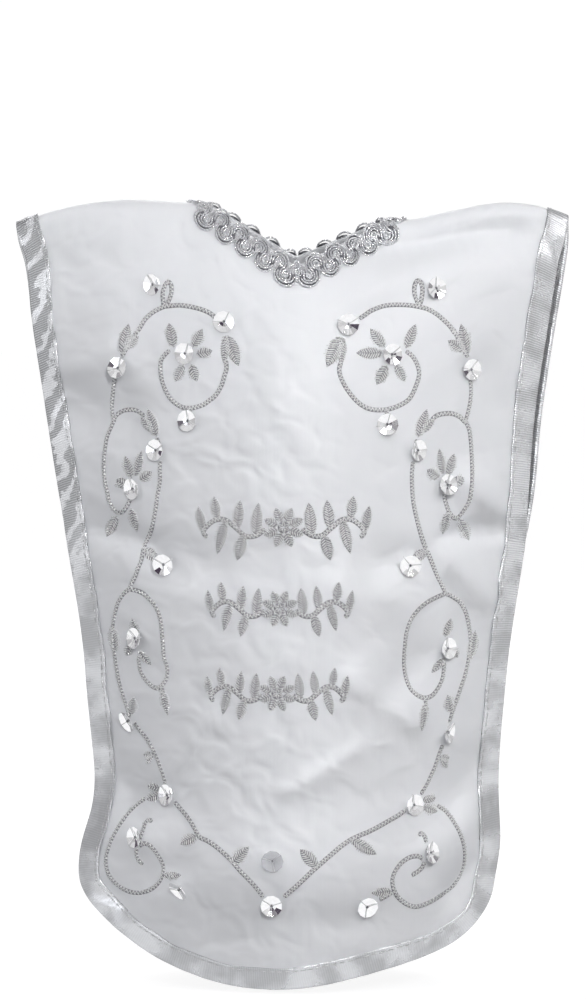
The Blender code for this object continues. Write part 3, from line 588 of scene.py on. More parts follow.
def side_line(side, panel):
    """A side edge from the shoulder fold to the hem corner."""
    corner = HEM[0] if side < 0 else HEM[-1]
    top = float(crest(side * SHOULDER_END))
    ends = [float(half_width(np.array(side), top, np.array(part))) for part in (FRONT, BACK)]
    share = (np.arange(SIDE_ROWS + 1) / SIDE_ROWS) ** SIDE_CROWDING
    height = top + (corner[1] - top) * share
    width = half_width(np.full_like(height, side), height, np.full_like(height, panel))
    width += (sum(ends) / 2 - width) * (1 - smooth((top - height) / FOLD_SETTLES))
    width += (abs(corner[0]) - width) * smooth(
        (CORNER_FROM - height) / (CORNER_FROM - corner[1])
    )
    down = down_at(side * width, height, panel)
    down[0] = 0.0
    return np.stack((side * width, down), axis=1)


def hem_line(panel):
    """The hem from its left corner to its right one."""
    x, height = curved(HEM, 8).T
    return np.stack((x, down_at(x, height, panel)), axis=1)


def edge_line(step):
    """The closed outer edge of the cloth."""
    runs = {}
    for panel in (FRONT, BACK):
        left = side_line(-1, panel)
        right = side_line(1, panel)
        runs[panel] = np.vstack((left, hem_line(panel)[1:-1], right[::-1]))
    line = evenly(np.vstack((runs[FRONT], runs[BACK][::-1][1:-1])), EDGE_STEP, closed=True)
    for _ in range(round(2 * (EDGE_ROUNDING / EDGE_STEP) ** 2)):
        line = (np.roll(line, 1, axis=0) + 2 * line + np.roll(line, -1, axis=0)) / 4
    return evenly(line, step, closed=True)


def neck_line(inset, step):
    """The closed line round the neck, moved towards the hole from the braid's middle."""
    corners = [
        np.array(corner) for corner in (
            (NECK_MIDDLE - NECK_HALF_WIDTH, 0.0), (NECK_MIDDLE, NECK_FRONT),
            (NECK_MIDDLE + NECK_HALF_WIDTH, 0.0), (NECK_MIDDLE, -NECK_BACK),
        )
    ]
    radii = [NECK_SHOULDER_RADIUS, NECK_TIP_RADIUS] * 2
    line = []
    for i, (corner, radius) in enumerate(zip(corners, radii)):
        back = unit(corners[i - 1] - corner)
        ahead = unit(corners[(i + 1) % 4] - corner)
        half = math.acos(float(np.dot(back, ahead))) / 2
        centre = corner + unit(back + ahead) * radius / math.sin(half)
        first = corner + back * radius / math.tan(half) - centre
        turn = math.pi - 2 * half
        for angle in np.linspace(0.0, turn, 13):
            cos, sin = math.cos(angle), math.sin(angle)
            spin = np.array(((cos, -sin), (sin, cos)))
            if back[0] * ahead[1] - back[1] * ahead[0] > 0:
                spin = spin.T
            spoke = spin @ first
            line.append(centre + spoke * (radius - inset) / radius)
    return evenly(line, step, closed=True)


def contains(loop, points):
    """Which of the points are inside a closed line."""
    found = np.zeros(len(points), bool)
    for a, b in zip(loop, np.roll(loop, -1, axis=0)):
        crosses = (a[1] > points[:, 1]) != (b[1] > points[:, 1])
        rise = b[1] - a[1] if b[1] != a[1] else 1e-9
        at = (b[0] - a[0]) * (points[:, 1] - a[1]) / rise + a[0]
        found ^= crosses & (points[:, 0] < at)
    return found


def distance_from(loop, points):
    """How far the points are from the nearest point of a line."""
    found = np.full(len(points), 1e9)
    for start in range(0, len(loop), 64):
        part = loop[start:start + 64]
        away = np.linalg.norm(points[:, None] - part[None], axis=2).min(axis=1)
        found = np.minimum(found, away)
    return found


def new_object(name, points, faces, material, flat=None):
    """Mesh object from places in millimetres. flat is a place in the stitch pattern for each."""
    mesh = bpy.data.meshes.new(name)
    mesh.from_pydata((np.asarray(points) * MM).tolist(), [], faces)
    if flat is not None:
        corner = np.empty(len(mesh.loops), int)
        mesh.loops.foreach_get("vertex_index", corner)
        layer = mesh.uv_layers.new(name="flat")
        layer.data.foreach_set("uv", (np.asarray(flat, float) * 0.01)[corner].ravel())
    mesh.shade_smooth()
    mesh.materials.append(material)
    made = bpy.data.objects.new(name, mesh)
    bpy.context.scene.collection.objects.link(made)
    return made


def face_outward(made):
    """Turns the faces of a closed mesh outward."""
    work = bmesh.new()
    work.from_mesh(made.data)
    bmesh.ops.recalc_face_normals(work, faces=work.faces)
    work.to_mesh(made.data)
    work.free()


def closed_grid(rings, sides):
    """Quads between closed rings with the same number of places, the last joined to the first."""
    faces = []
    for ring in range(rings):
        near, far = ring * sides, (ring + 1) % rings * sides
        for k in range(sides):
            after = (k + 1) % sides
            faces.append((near + k, near + after, far + after, far + k))
    return faces


def stand_for(piece, node):
    """The piece is shown in place of one of the frame's nodes."""
    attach(piece, "root")
    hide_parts(node)


def sew_on(*pieces):
    """Seams and embroidery lie on the cover."""
    for piece in pieces:
        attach(piece, "root")


class Threads:
    """Gathers threads of one kind into one mesh."""

    def __init__(self, sides):
        self.sides = sides
        self.points, self.quads, self.caps, self.flat = [], [], [], []
        self.count = 0

    def lay(self, paths, ups, wide, high, twist=0.0, depth=0.0):
        """Adds one thread, or more with the same number of places.

        twist winds two strands round each.
        """
        if paths.ndim == 2:
            paths, ups = paths[None], ups[None]
        threads, stations = paths.shape[:2]
        across = unit(np.cross(unit(np.gradient(paths, axis=1)), ups))
        steps = np.linalg.norm(np.diff(paths, axis=1), axis=2)
        along = np.concatenate((np.zeros((threads, 1)), np.cumsum(steps, axis=1)), axis=1)
        angle = np.linspace(0.0, 2 * math.pi, self.sides, endpoint=False)
        size = 1 + depth * np.cos(2 * (angle - twist * along[..., None]))
        size[:, [0, -1]] *= 0.5
        rings = (
            paths[:, :, None]
            + across[:, :, None] * (np.cos(angle) * size * wide)[..., None]
            + ups[:, :, None] * (np.sin(angle) * size * high)[..., None]
        )
        index = self.count + np.arange(threads * stations * self.sides)
        index = index.reshape(threads, stations, self.sides)
        turned = np.roll(index, -1, axis=2)
        near, far = index[:, :-1], index[:, 1:]
        self.quads.append(
            np.stack((near, far, turned[:, 1:], turned[:, :-1]), axis=-1).reshape(-1, 4)
        )
        self.caps += [index[:, 0], index[:, -1, ::-1]]
        self.points.append(rings.reshape(-1, 3))
        place = along + 1.7 * np.arange(threads)[:, None]
        around = np.abs(angle / math.pi - 1) * wide * 3
        self.flat.append(
            np.stack(np.broadcast_arrays(place[..., None], around), axis=-1).reshape(-1, 2)
        )
        self.count += index.size

    def stitch(self, spots, rises, wide):
        """Adds stitches given by places on the cloth and heights over it."""
        ground, normals = on_cloth(spots)
        self.lay(ground + normals * (CLOTH_FACE + rises)[..., None], normals, wide, wide * 0.85)

    def finish(self, name, material):
        faces = np.vstack(self.quads).tolist() + np.vstack(self.caps).tolist()
        return new_object(name, np.vstack(self.points), faces, material, np.vstack(self.flat))


def stem_stitches(line, half, pitch, rise, chance):
    """A stem in satin stitch: a close zigzag along a line on the cloth."""
    spots = rounded(line, STEM_STEP)
    left = sideways(spots)
    total = (len(spots) - 1) * STEM_STEP
    count = max(4, round(total / pitch))
    start = np.arange(count) * total / count
    turn = np.where(np.arange(count) % 2, -1.0, 1.0)
    wide = half * (1 + STEM_UNEVEN * chance.standard_normal(count))
    shares = STITCH_SHARES[None]
    along = start[:, None] + shares * total / count
    lateral = turn[:, None] * (2 * shares - 1) * wide[:, None]
    cell = np.clip(along / STEM_STEP, 0, len(spots) - 1).round().astype(int)
    places = spots[cell] + left[cell] * lateral[..., None]
    rises = rise * (0.35 + np.sin(math.pi * shares) ** 0.8) + 0.04 * chance.random((count, 1))
    return places, np.broadcast_to(rises, along.shape)


def leaf_swell(shares):
    """How wide a leaf is along its length, 1 where it is widest."""
    return np.sin(math.pi * shares ** 0.85) ** 0.75


def leaf_stitches(base, tip, width, pitch, rise, chance):
    """A leaf in satin stitch: threads that slant from its vein to either edge."""
    length = np.linalg.norm(tip - base)
    way = (tip - base) / length
    left = np.array((-way[1], way[0]))
    count = max(5, round(length / pitch))
    shares = STITCH_SHARES[None]
    places, rises = [], []
    for side in (-1, 1):
        start = (np.arange(count) + 0.2 + 0.3 * chance.random(count)) / count
        ahead = np.clip(start + 0.1, 0.0, 1.0)
        reach = width / 2 * leaf_swell(ahead)
        reach = 0.16 + reach * (1 + LEAF_UNEVEN * chance.standard_normal(count))
        forward = np.minimum(LEAF_SLANT * reach, length * (1.04 - start))
        along = start[:, None] * length + forward[:, None] * shares
        lateral = side * (0.04 + reach[:, None] * shares)
        places.append(base + way * along[..., None] + left * lateral[..., None])
        lift = rise * (0.25 + np.sin(math.pi * (0.16 + 0.84 * shares)))
        rises.append(np.broadcast_to(lift, along.shape))
    return np.vstack(places), np.vstack(rises)


def pad_stem(threads, line, settings, narrow=1.0):
    """A soft cord under the stitches of a stem."""
    ground, normals = on_cloth(rounded(seen_at(line), 0.4))
    path = ground + normals * CLOTH_FACE
    half = settings.stem_width / MM / 2 * narrow
    threads.lay(path, normals, half * 1.1, settings.stem_rise / MM * 0.8)


def pad_leaves(threads, leaves, settings):
    """Soft pads under the stitches of many leaves."""
    shares = np.linspace(0.0, 1.0, 9)
    ends = np.array([seen_at([leaf[:2], leaf[2:4]]) for leaf in leaves])
    spots = ends[:, :1] + (ends[:, 1:] - ends[:, :1]) * shares[None, :, None]
    ground, normals = on_cloth(spots)
    half = np.array([leaf[4] for leaf in leaves])[:, None, None] * 0.44
    wide = 0.05 + half * leaf_swell(shares)[None, :, None]
    threads.lay(ground + normals * CLOTH_FACE, normals, wide, settings.leaf_rise / MM * 0.8)


def stitch_all(threads, parts, wide):
    """Lays the stitches of many stems or leaves at once."""
    threads.stitch(
        np.vstack([places for places, _ in parts]), np.vstack([rises for _, rises in parts]), wide
    )


def seen_leaf(leaf, settings, chance):
    """Stitches of a leaf given by its base, tip and width as seen from the front."""
    ends = seen_at([leaf[:2], leaf[2:4]])
    return leaf_stitches(
        ends[0], ends[1], leaf[4], settings.leaf_pitch / MM, settings.leaf_rise / MM, chance
    )


def seen_stem(line, settings, chance, narrow=1.0):
    """Stitches of a stem given by its line as seen from the front."""
    half = settings.stem_width / MM / 2 * narrow
    return stem_stitches(
        seen_at(line), half, settings.pitch / MM, settings.stem_rise / MM, chance
    )


def feed(node, socket, value):
    """Links another node's output into an input, or sets the input to a plain value."""
    if isinstance(value, bpy.types.NodeSocket):
        node.id_data.links.new(value, socket)
    elif value is not None:
        socket.default_value = value


def add_node(tree, kind, *values, **settings):
    """Add a shader node. Its values go to its inputs in order, and None leaves one as it is."""
    made = tree.nodes.new("ShaderNode" + kind)
    for key, value in settings.items():
        setattr(made, key, value)
    for socket, value in zip(made.inputs, values):
        feed(made, socket, value)
    return made


def set_inputs(node, **values):
    """Feeds the inputs with these names, a space written as _."""
    for label, value in values.items():
        feed(node, node.inputs[label.replace("_", " ")], value)


def maths(tree, operation, *values):
    return add_node(tree, "Math", *values, operation=operation).outputs[0]


def blended(tree, share, first, second):
    """Colour between two others. The five inputs between are for numbers and vectors."""
    return add_node(tree, "Mix", share, *[None] * 5, first, second, data_type="RGBA").outputs[2]


def mixed(tree, share, first, second):
    """Number between two others."""
    return add_node(tree, "Mix", share, None, first, second, data_type="FLOAT").outputs[0]


def ramp(tree, value, start, end, low, high):
    """A number that goes from low to high while the value goes from start to end."""
    return add_node(tree, "MapRange", value, start, end, low, high).outputs[0]


def between(tree, share, low, high):
    """A number between low and high."""
    return ramp(tree, share, 0.0, 1.0, low, high)


def noise(tree, place, scale, detail):
    return add_node(tree, "TexNoise", place, None, scale, detail).outputs[0]


def wave(tree, place, spacing):
    """0 to 1 and back once in each spacing."""
    turns = maths(tree, "DIVIDE", place, spacing)
    swing = maths(tree, "SINE", maths(tree, "MULTIPLY", turns, 2 * math.pi))
    return maths(tree, "MULTIPLY_ADD", swing, 0.5, 0.5)


def new_group(name, inputs, outputs):
    """An empty node group with a vector input and float sockets with the given names."""
    tree = bpy.data.node_groups.new(name, "ShaderNodeTree")
    tree.interface.new_socket("Place", in_out="INPUT", socket_type="NodeSocketVector")
    for label, default in inputs:
        socket = tree.interface.new_socket(label, in_out="INPUT", socket_type="NodeSocketFloat")
        socket.default_value = default
    for label in outputs:
        tree.interface.new_socket(label, in_out="OUTPUT", socket_type="NodeSocketFloat")
    return tree, tree.nodes.new("NodeGroupInput").outputs, tree.nodes.new("NodeGroupOutput")


def weave_group():
    """Crossing threads as a height, and the cloth's slow change of tone. Places are in mm."""
    if "Weave" in bpy.data.node_groups:
        return bpy.data.node_groups["Weave"]
    tree, given, out = new_group(
        "Weave",
        (("Warp Spacing", 0.4), ("Weft Spacing", 0.3), ("Weft Share", 0.4), ("Tone Size", 0.05)),
        ("Height", "Tone"),
    )
    parts = add_node(tree, "SeparateXYZ", given["Place"])
    jitter = noise(tree, given["Place"], 0.7, 2.0)
    across = maths(tree, "MULTIPLY_ADD", jitter, 0.25, parts.outputs[0])
    warp = wave(tree, across, given["Warp Spacing"])
    weft = wave(tree, parts.outputs[1], given["Weft Spacing"])
    height = mixed(tree, given["Weft Share"], warp, weft)
    set_inputs(out, Height=height, Tone=noise(tree, given["Place"], given["Tone Size"], 4.0))
    return tree


def metal_thread_group():
    """Laid or twisted metallic thread: its strands as a height, shade between them, sparkle."""
    if "Metal Thread" in bpy.data.node_groups:
        return bpy.data.node_groups["Metal Thread"]
    tree, given, out = new_group(
        "Metal Thread",
        (("Strand Spacing", 0.4), ("Slant", 0.6), ("Sparkle Size", 2.4), ("Sparkle Amount", 0.4)),
        ("Height", "Shade", "Sparkle"),
    )
    parts = add_node(tree, "SeparateXYZ", given["Place"])
    jitter = noise(tree, given["Place"], 1.1, 2.0)
    slanted = maths(tree, "MULTIPLY_ADD", parts.outputs[1], given["Slant"], parts.outputs[0])
    strand = wave(tree, maths(tree, "MULTIPLY_ADD", jitter, 0.3, slanted), given["Strand Spacing"])
    flecks = add_node(tree, "TexVoronoi", given["Place"], None, given["Sparkle Size"])
    level = add_node(tree, "SeparateColor", flecks.outputs["Color"]).outputs[0]
    bright = maths(tree, "LESS_THAN", level, given["Sparkle Amount"])
    shade = maths(tree, "MULTIPLY", strand, between(tree, level, 0.3, 1.0))
    set_inputs(out, Height=strand, Shade=shade, Sparkle=bright)
    return tree


def bare_material(name):
    """A material, its tree and its Principled shader."""
    made = bpy.data.materials.new(name)
    made.use_nodes = True
    tree = made.node_tree
    return made, tree, tree.nodes["Principled BSDF"]


def new_material(name):
    """A material, its tree, its Principled shader and the flat place on the piece in mm."""
    made, tree, shader = bare_material(name)
    place = add_node(tree, "UVMap", uv_map="flat").outputs[0]
    scaled = add_node(tree, "VectorMath", place, (100.0, 100.0, 100.0), operation="MULTIPLY")
    return made, tree, shader, scaled.outputs[0]


def use_group(tree, group, place, **values):
    """Outputs of a node group with its inputs fed as set_inputs does."""
    made = add_node(tree, "Group", node_tree=group)
    set_inputs(made, Place=place, **values)
    return made.outputs


def bump(tree, height, depth, strength=1.0, under=None):
    """A normal from a height. depth is in mm, under is the normal of a coarser bump beneath."""
    made = add_node(tree, "Bump")
    set_inputs(made, Height=height, Distance=depth * MM, Strength=strength, Normal=under)
    return made.outputs[0]


def tinted(colour, factor):
    """A colour made darker or lighter."""
    return tuple(min(1.0, part * factor) for part in colour[:3]) + (1.0,)


def satin_material(colour):
    """White satin: long smooth warp threads with a soft sheen across them."""
    made, tree, shader, place = new_material("white_satin")
    weave = use_group(
        tree, weave_group(), place,
        Warp_Spacing=0.42, Weft_Spacing=0.3, Weft_Share=0.3, Tone_Size=0.045,
    )
    tone = between(tree, weave["Tone"], 0.1, 0.9)
    crumple = add_node(tree, "TexNoise", place, None, 0.11, 1.0)
    set_inputs(crumple, Distortion=0.4)
    soft = bump(tree, crumple.outputs[0], 1.35)
    set_inputs(
        shader,
        Base_Color=blended(tree, tone, tinted(colour, 0.965), tinted(colour, 1.02)),
        Roughness=between(tree, weave["Tone"], 0.36, 0.46),
        Sheen_Weight=0.1,
        Sheen_Roughness=0.35,
        Specular_IOR_Level=0.35,
        Normal=bump(tree, weave["Height"], 0.02, 0.5, soft),
    )
    return made


def ribbon_material(colour):
    """Metallic ribbon: fine ribs across it, painted highlight streaks, and long patches of smoother
    foil with painted brighter reflections.
    """
    made, tree, shader, place = new_material("silver_ribbon")
    rib = bpy.context.scene.bottle_cover_ribbon.rib / MM
    weave = use_group(
        tree, weave_group(), place,
        Warp_Spacing=rib, Weft_Spacing=0.9, Weft_Share=0.08, Tone_Size=0.075,
    )
    parts = add_node(tree, "SeparateXYZ", place).outputs
    along, across = parts[0], parts[1]
    flat = ramp(tree, weave["Tone"], 0.42, 0.58, 0.0, 1.0)
    after = ramp(tree, along, RIBS_FADE[0], RIBS_FADE[1], 0.0, 1.0)
    before = ramp(tree, along, RIBS_FADE[2], RIBS_FADE[3], 1.0, 0.0)
    calm = maths(tree, "MULTIPLY", after, before)
    # Diagonal stripes before the ribs are drawn flat: painted highlights of glossy folds
    bent = maths(tree, "MULTIPLY_ADD", across, 1.5, along)
    bent = maths(tree, "MULTIPLY_ADD", weave["Tone"], STREAK_BEND, bent)
    streak = ramp(tree, wave(tree, bent, STREAK_SPACING), 0.55, 0.8, -0.4, 1.9)
    upper = maths(tree, "SUBTRACT", 1.0, after)
    flat = maths(tree, "MULTIPLY_ADD", streak, upper, maths(tree, "MULTIPLY", flat, after))
    faint = maths(tree, "MULTIPLY_ADD", weave["Height"], 0.22, 0.35)
    ribs = mixed(tree, calm, weave["Height"], faint)
    # Base colour: painted highlights and reflections from the streaks and patches, and painted
    # shade in the ribs' grooves
    painted_shine = maths(tree, "MULTIPLY_ADD", flat, 0.45, maths(tree, "MULTIPLY", ribs, 0.75))
    set_inputs(
        shader,
        Base_Color=blended(tree, painted_shine, tinted(colour, 0.5), tinted(colour, 1.25)),
        Roughness=between(tree, flat, 0.42, 0.18),
        Metallic=0.6,
        Normal=bump(tree, ribs, 0.12, 0.8),
    )
    return made


def thread_material(name, colour, spacing, slant, sparkle, metallic=0.25):
    """Metallic embroidery thread, laid in stitches or twisted to a cord."""
    made, tree, shader, place = new_material(name)
    thread = use_group(
        tree, metal_thread_group(), place,
        Strand_Spacing=spacing, Slant=slant, Sparkle_Size=2.4, Sparkle_Amount=sparkle,
    )
    # Base colour: painted shade between the strands with a random tone from cell to cell, and
    # painted glints where the sparkle flecks turn it near white
    strand_shade_and_tone = blended(tree, thread["Shade"], tinted(colour, 0.6), tinted(colour, 1.1))
    flash = maths(tree, "MULTIPLY", thread["Sparkle"], 0.85)
    set_inputs(
        shader,
        Base_Color=blended(tree, flash, strand_shade_and_tone, tinted(colour, 1.5)),
        Roughness=between(tree, thread["Sparkle"], 0.46, 0.22),
        Metallic=metallic,
        Normal=bump(tree, thread["Height"], THREAD_GROOVE, 0.9),
    )
    return made


def padding_shade_material(name, settings):
    """Grey thread laid under the silver stitches; it shows between them, and its dark grey is
    painted shade between the stitches and along the stems' edges.
    """
    return thread_material(name, settings.padding_shade_colour, 0.4, 0.2, 0.1, metallic=0.2)


def cloudy_material(name, dull, bright, smoothest, roughest):
    """A material that is a little cloudy and scuffed."""
    made, tree, shader = bare_material(name)
    place = add_node(tree, "TexCoord").outputs["Object"]
    cloud = noise(tree, place, 900.0, 3.0)
    rough = between(tree, cloud, smoothest, roughest)
    set_inputs(shader, Base_Color=blended(tree, cloud, dull, bright), Roughness=rough)
    return made, tree, shader, cloud


def foil_material(colour):
    """Mirror foil of the sequins."""
    made, tree, shader, cloud = cloudy_material(
        "silver_foil", tinted(colour, 0.9), tinted(colour, 1.04), 0.05, 0.16
    )
    set_inputs(shader, Metallic=1.0, Normal=bump(tree, cloud, 0.01, 0.3))
    return made


def clear_material():
    """Clear plastic of the one sequin without foil."""
    made, _, shader, _ = cloudy_material(
        "clear_sequin", (0.86, 0.87, 0.9, 1.0), (0.95, 0.95, 0.97, 1.0), 0.08, 0.2
    )
    set_inputs(shader, Transmission_Weight=0.6, IOR=1.46)
    return made


def length_property(name, description, default, low, high):
    """A length in metres, shown to a hundredth of a millimetre."""
    return FloatProperty(
        name=name, description=description, default=default * MM, min=low * MM, max=high * MM,
        unit="LENGTH", precision=5,
    )


def power_property(name, description, default):
    return FloatProperty(name=name, description=description, default=default, unit="POWER")


def colour_property(name, default):
    return FloatVectorProperty(
        name=name, description="Colour in plain daylight", default=default, size=3, min=0.0,
        max=1.0, subtype="COLOR",
    )


class ClothSettings(bpy.types.PropertyGroup):
    cell: length_property("Mesh cell", "Side of the cloth mesh's triangles", 1.7, 1.2, 6.0)
    thickness: length_property("Thickness", "Thickness of the satin", 0.9, 0.3, 1.1)
    pucker: length_property("Pucker", "Height of the puckers along the binding", 0.22, 0.0, 0.6)
    unrest: length_property("Unrest", "Height of the faint waves all over", 0.045, 0.0, 0.2)
    colour: colour_property("Satin", (0.82, 0.83, 0.855))


class RibbonSettings(bpy.types.PropertyGroup):
    step: length_property("Station step", "Distance between the ribbon's sections", 1.0, 0.5, 3.0)
    reach: length_property("Reach", "How far the ribbon covers the cloth", 6.4, 4.0, 7.0)
    wall: length_property("Wall", "Thickness of the ribbon", 0.3, 0.1, 0.5)
    rib: length_property("Rib spacing", "Distance between the ribbon's ribs", 0.74, 0.3, 1.5)
    crease: length_property("Crease", "Height of the ribbon's creases", 0.6, 0.0, 0.8)
    stitch: length_property("Stitch length", "Length of a stitch of the seam", 1.9, 1.0, 4.0)
    spacing: length_property("Stitch spacing", "From one stitch to the next", 2.6, 1.5, 6.0)
    colour: colour_property("Ribbon", (0.65, 0.66, 0.68))
    thread: colour_property("Sewing thread", (0.70, 0.71, 0.72))


class BraidSettings(bpy.types.PropertyGroup):
    cord: length_property("Cord radius", "Radius of one cord of the braid", 0.32, 0.2, 0.7)
    apart: length_property("Cord spacing", "From one cord's middle to the next", 0.78, 0.5, 1.5)
    swing: length_property("Swing", "From the band's middle to a scroll's", 1.0, 0.0, 2.0)
    scroll: length_property("Scroll length", "From one scroll to the next", 7.3, 4.0, 12.0)
    cords: IntProperty(name="Cords", description="Cords side by side", default=4, min=1, max=4)
    colour: colour_property("Braid", (0.74, 0.75, 0.79))
    # Colour of the dark band under the cords: painted shadow between them
    ground: colour_property("Between the cords", (0.16, 0.16, 0.18))


class VineSettings(bpy.types.PropertyGroup):
    stem_width: length_property("Stem width", "Width of the stitched stems", 1.35, 0.6, 2.0)
    stem_rise: length_property("Stem rise", "Height of the stems' stitches", 0.32, 0.1, 1.0)
    leaf_rise: length_property("Leaf rise", "Height of the leaves' stitches", 0.3, 0.1, 1.0)
    pitch: length_property("Stitch spacing", "From one stitch to the next", 0.56, 0.2, 1.0)
    leaf_pitch: length_property("Leaf spacing", "From one leaf stitch to the next", 0.74, 0.3, 1.2)
    thread: length_property("Thread", "Radius of the embroidery thread", 0.16, 0.08, 0.3)
    stem_colour: colour_property("Stem thread", (0.94, 0.95, 0.97))
    leaf_colour: colour_property("Leaf thread", (0.92, 0.93, 0.95))
    # Real padding under the stitches, its dark grey partly painted shade between them
    padding_shade_colour: colour_property("Padding thread", (0.4, 0.4, 0.42))


class SequinSettings(bpy.types.PropertyGroup):
    facets: IntProperty(name="Facets", description="Flat facets round", default=11, min=6, max=20)
    hole: length_property("Hole", "Radius of the middle hole", 0.6, 0.2, 1.0)
    thread: length_property("Thread", "Radius of the threads that hold it", 0.11, 0.05, 0.3)
    colour: colour_property("Foil", (0.95, 0.95, 0.96))


class StageSettings(bpy.types.PropertyGroup):
    key: power_property("Key light", "Watts, upper right", 4.4)
    fill: power_property("Fill light", "Watts, left, and twice that behind", 3.15)
    front: power_property("Front light", "Watts, a narrow beam", 0.27)
    air: FloatProperty(name="Surroundings", description="Strength all round", default=0.65)
    floor_gap: length_property("Floor gap", "From the hem down to the floor", 0.4, 0.0, 20.0)


class MakeCloth(bpy.types.Operator):
    """Satin cover cloth, one piece from the front hem over the shoulders to the back hem"""

    bl_idname = "bottle_cover.cloth"
    bl_label = "Satin cloth"

    def execute(self, context):
        settings = context.scene.bottle_cover_cloth
        flat, faces = self.cut_up(settings.cell / MM)
        places, normals = on_cloth(flat)
        satin = satin_material(settings.colour)
        cloth = new_object("satin_cover", places, faces.tolist(), satin, flat)
        turn_to(cloth, normals[0])
        shell = cloth.modifiers.new("thickness", "SOLIDIFY")
        shell.thickness = settings.thickness
        shell.offset = 0.0
        context.view_layer.objects.active = cloth
        apply_modifiers(cloth)
        stand_for(cloth, "cover_cloth")
        return {"FINISHED"}

    def cut_up(self, cell):
        """Triangles over the flat cloth, between its edge and the neck: corners and faces."""
        edge = edge_line(cell)
        neck = neck_line(NECK_CUT, cell * 0.7)
        low, high = edge.min(axis=0), edge.max(axis=0)
        rows = []
        for j, down in enumerate(np.arange(low[1], high[1], cell * 0.866)):
            across = np.arange(low[0] + (j % 2) * cell / 2, high[0], cell)
            rows.append(np.stack((across, np.full_like(across, down)), axis=1))
        grid = np.vstack(rows)
        grid = grid[contains(edge, grid) & ~contains(neck, grid)]
        grid = grid[distance_from(np.vstack((edge, neck)), grid) > cell * 0.6]
        spots = np.vstack((edge, neck, grid))
        bounds = []
        for first, count in ((0, len(edge)), (len(edge), len(neck))):
            bounds += [(first + i, first + (i + 1) % count) for i in range(count)]
        found = delaunay_2d_cdt([Vector(spot) for spot in spots], bounds, [], 0, 1e-6)
        flat = np.array([tuple(spot) for spot in found[0]])
        faces = np.array([face for face in found[2] if len(face) == 3])
        middles = flat[faces].mean(axis=1)
        faces = faces[contains(edge, middles) & ~contains(neck, middles)]
        if len(faces) < 1000:
            raise RuntimeError("the cloth could not be meshed")
        return flat, faces


def turn_to(made, normal):
    """Turns all faces over if the first vertex's normal points the other way."""
    made.data.update()
    if Vector(normal).dot(made.data.vertices[0].normal) < 0:
        made.data.flip_normals()


def apply_modifiers(made):
    """Replaces the mesh by the modified one."""
    evaluated = made.evaluated_get(bpy.context.evaluated_depsgraph_get())
    mesh = bpy.data.meshes.new_from_object(evaluated)
    made.modifiers.clear()
    made.data = mesh


def into_cloth(line):
    """Unit vectors from a closed edge line into the cloth, smoothed."""
    left = sideways(line, closed=True, reach=3)
    x, y = line[:, 0], line[:, 1]
    area = np.sum(x * np.roll(y, -1) - np.roll(x, -1) * y)
    return left if area > 0 else -left


def ribbon_reach(along, settings):
    """The ribbon's inner edge wanders a little."""
    wander = 0.16 * np.sin(along * 0.083 + 0.4) + 0.1 * np.sin(along * 0.31)
    return settings.reach / MM + wander


def ribbon_relief(along, inward, settings):
    """Height of the ribbon's creases, which run slantwise, and of its loose inner edge."""
    share = inward / (settings.reach / MM)
    slanted = along - 1.1 * inward
    crease = np.sin(slanted * 0.52 + 1.8 * np.sin(along * 0.061))
    crease = np.maximum(crease, 0.0) ** 2 * tide(along * 0.113 + 1.0)
    fine = np.sin(slanted * 1.35 + 1.3 * np.sin(along * 0.19))
    crease += 0.4 * np.maximum(fine, 0.0) * tide(along * 0.049 + 2.0)
    lip = tide(along * 0.37 + np.sin(along * 0.15)) * share ** 4
    return settings.crease / MM * (crease * np.sin(math.pi * np.clip(share, 0, 1)) + lip)


def ribbon_top(along, spots, inward, settings):
    """Places on the ribbon's outer face and the normals there."""
    ground, normals = on_cloth(spots)
    rise = RIBBON_REST + settings.wall / MM + ribbon_relief(along, inward, settings)
    return ground + normals * rise[:, None], normals


class MakeBinding(bpy.types.Operator):
    """Ribbon folded round the cloth's edge as one closed loop"""

    bl_idname = "bottle_cover.binding"
    bl_label = "Ribbon binding"

    def execute(self, context):
        settings = context.scene.bottle_cover_ribbon
        line = edge_line(settings.step / MM)
        count = len(line)
        along = np.arange(count) * settings.step / MM
        into = into_cloth(line)
        reach = ribbon_reach(along, settings)
        wall = settings.wall / MM
        shares = np.array((1.0, 0.93, 0.8, 0.62, 0.44, 0.28, 0.14, 0.05))
        middle, normal = on_cloth(line)
        ahead = unit(on_cloth(line + into * 0.6)[0] - middle)
        normal = unit(normal - ahead * np.sum(normal * ahead, axis=1, keepdims=True))
        section, flat = [], []

        def face_points(side, rise, order):
            for share in order:
                inward = reach * share
                ground, normals = on_cloth(line + into * inward[:, None])
                relief = ribbon_relief(along, inward, settings) * (1.0 if side > 0 else 0.5)
                section.append(ground + normals * (side * (rise + relief))[:, None])
                flat.append(np.stack((along, inward), axis=1))

        def nose_points(rise, angles):
            for angle in angles:
                out = -ahead * math.sin(angle) * rise * 0.8
                section.append(middle + normal * math.cos(angle) * rise + out)
                flat.append(np.stack((along, np.full(count, -math.sin(angle) * 0.8)), axis=1))

        turn = np.linspace(0.0, math.pi, 7)
        face_points(1, RIBBON_REST + wall, shares)
        nose_points(RIBBON_REST + wall, turn)
        face_points(-1, RIBBON_REST + wall, shares[::-1])
        face_points(-1, RIBBON_REST, shares[::2])
        nose_points(RIBBON_REST, turn[::-2])
        face_points(1, RIBBON_REST, shares[::2][::-1])
        sides = len(section)
        places = np.stack(section, axis=1).reshape(-1, 3)
        flat = np.stack(flat, axis=1).reshape(-1, 2)
        finish = ribbon_material(settings.colour)
        ribbon = new_object("ribbon_binding", places, closed_grid(count, sides), finish, flat)
        face_outward(ribbon)
        stand_for(ribbon, "edge_binding")
        return {"FINISHED"}


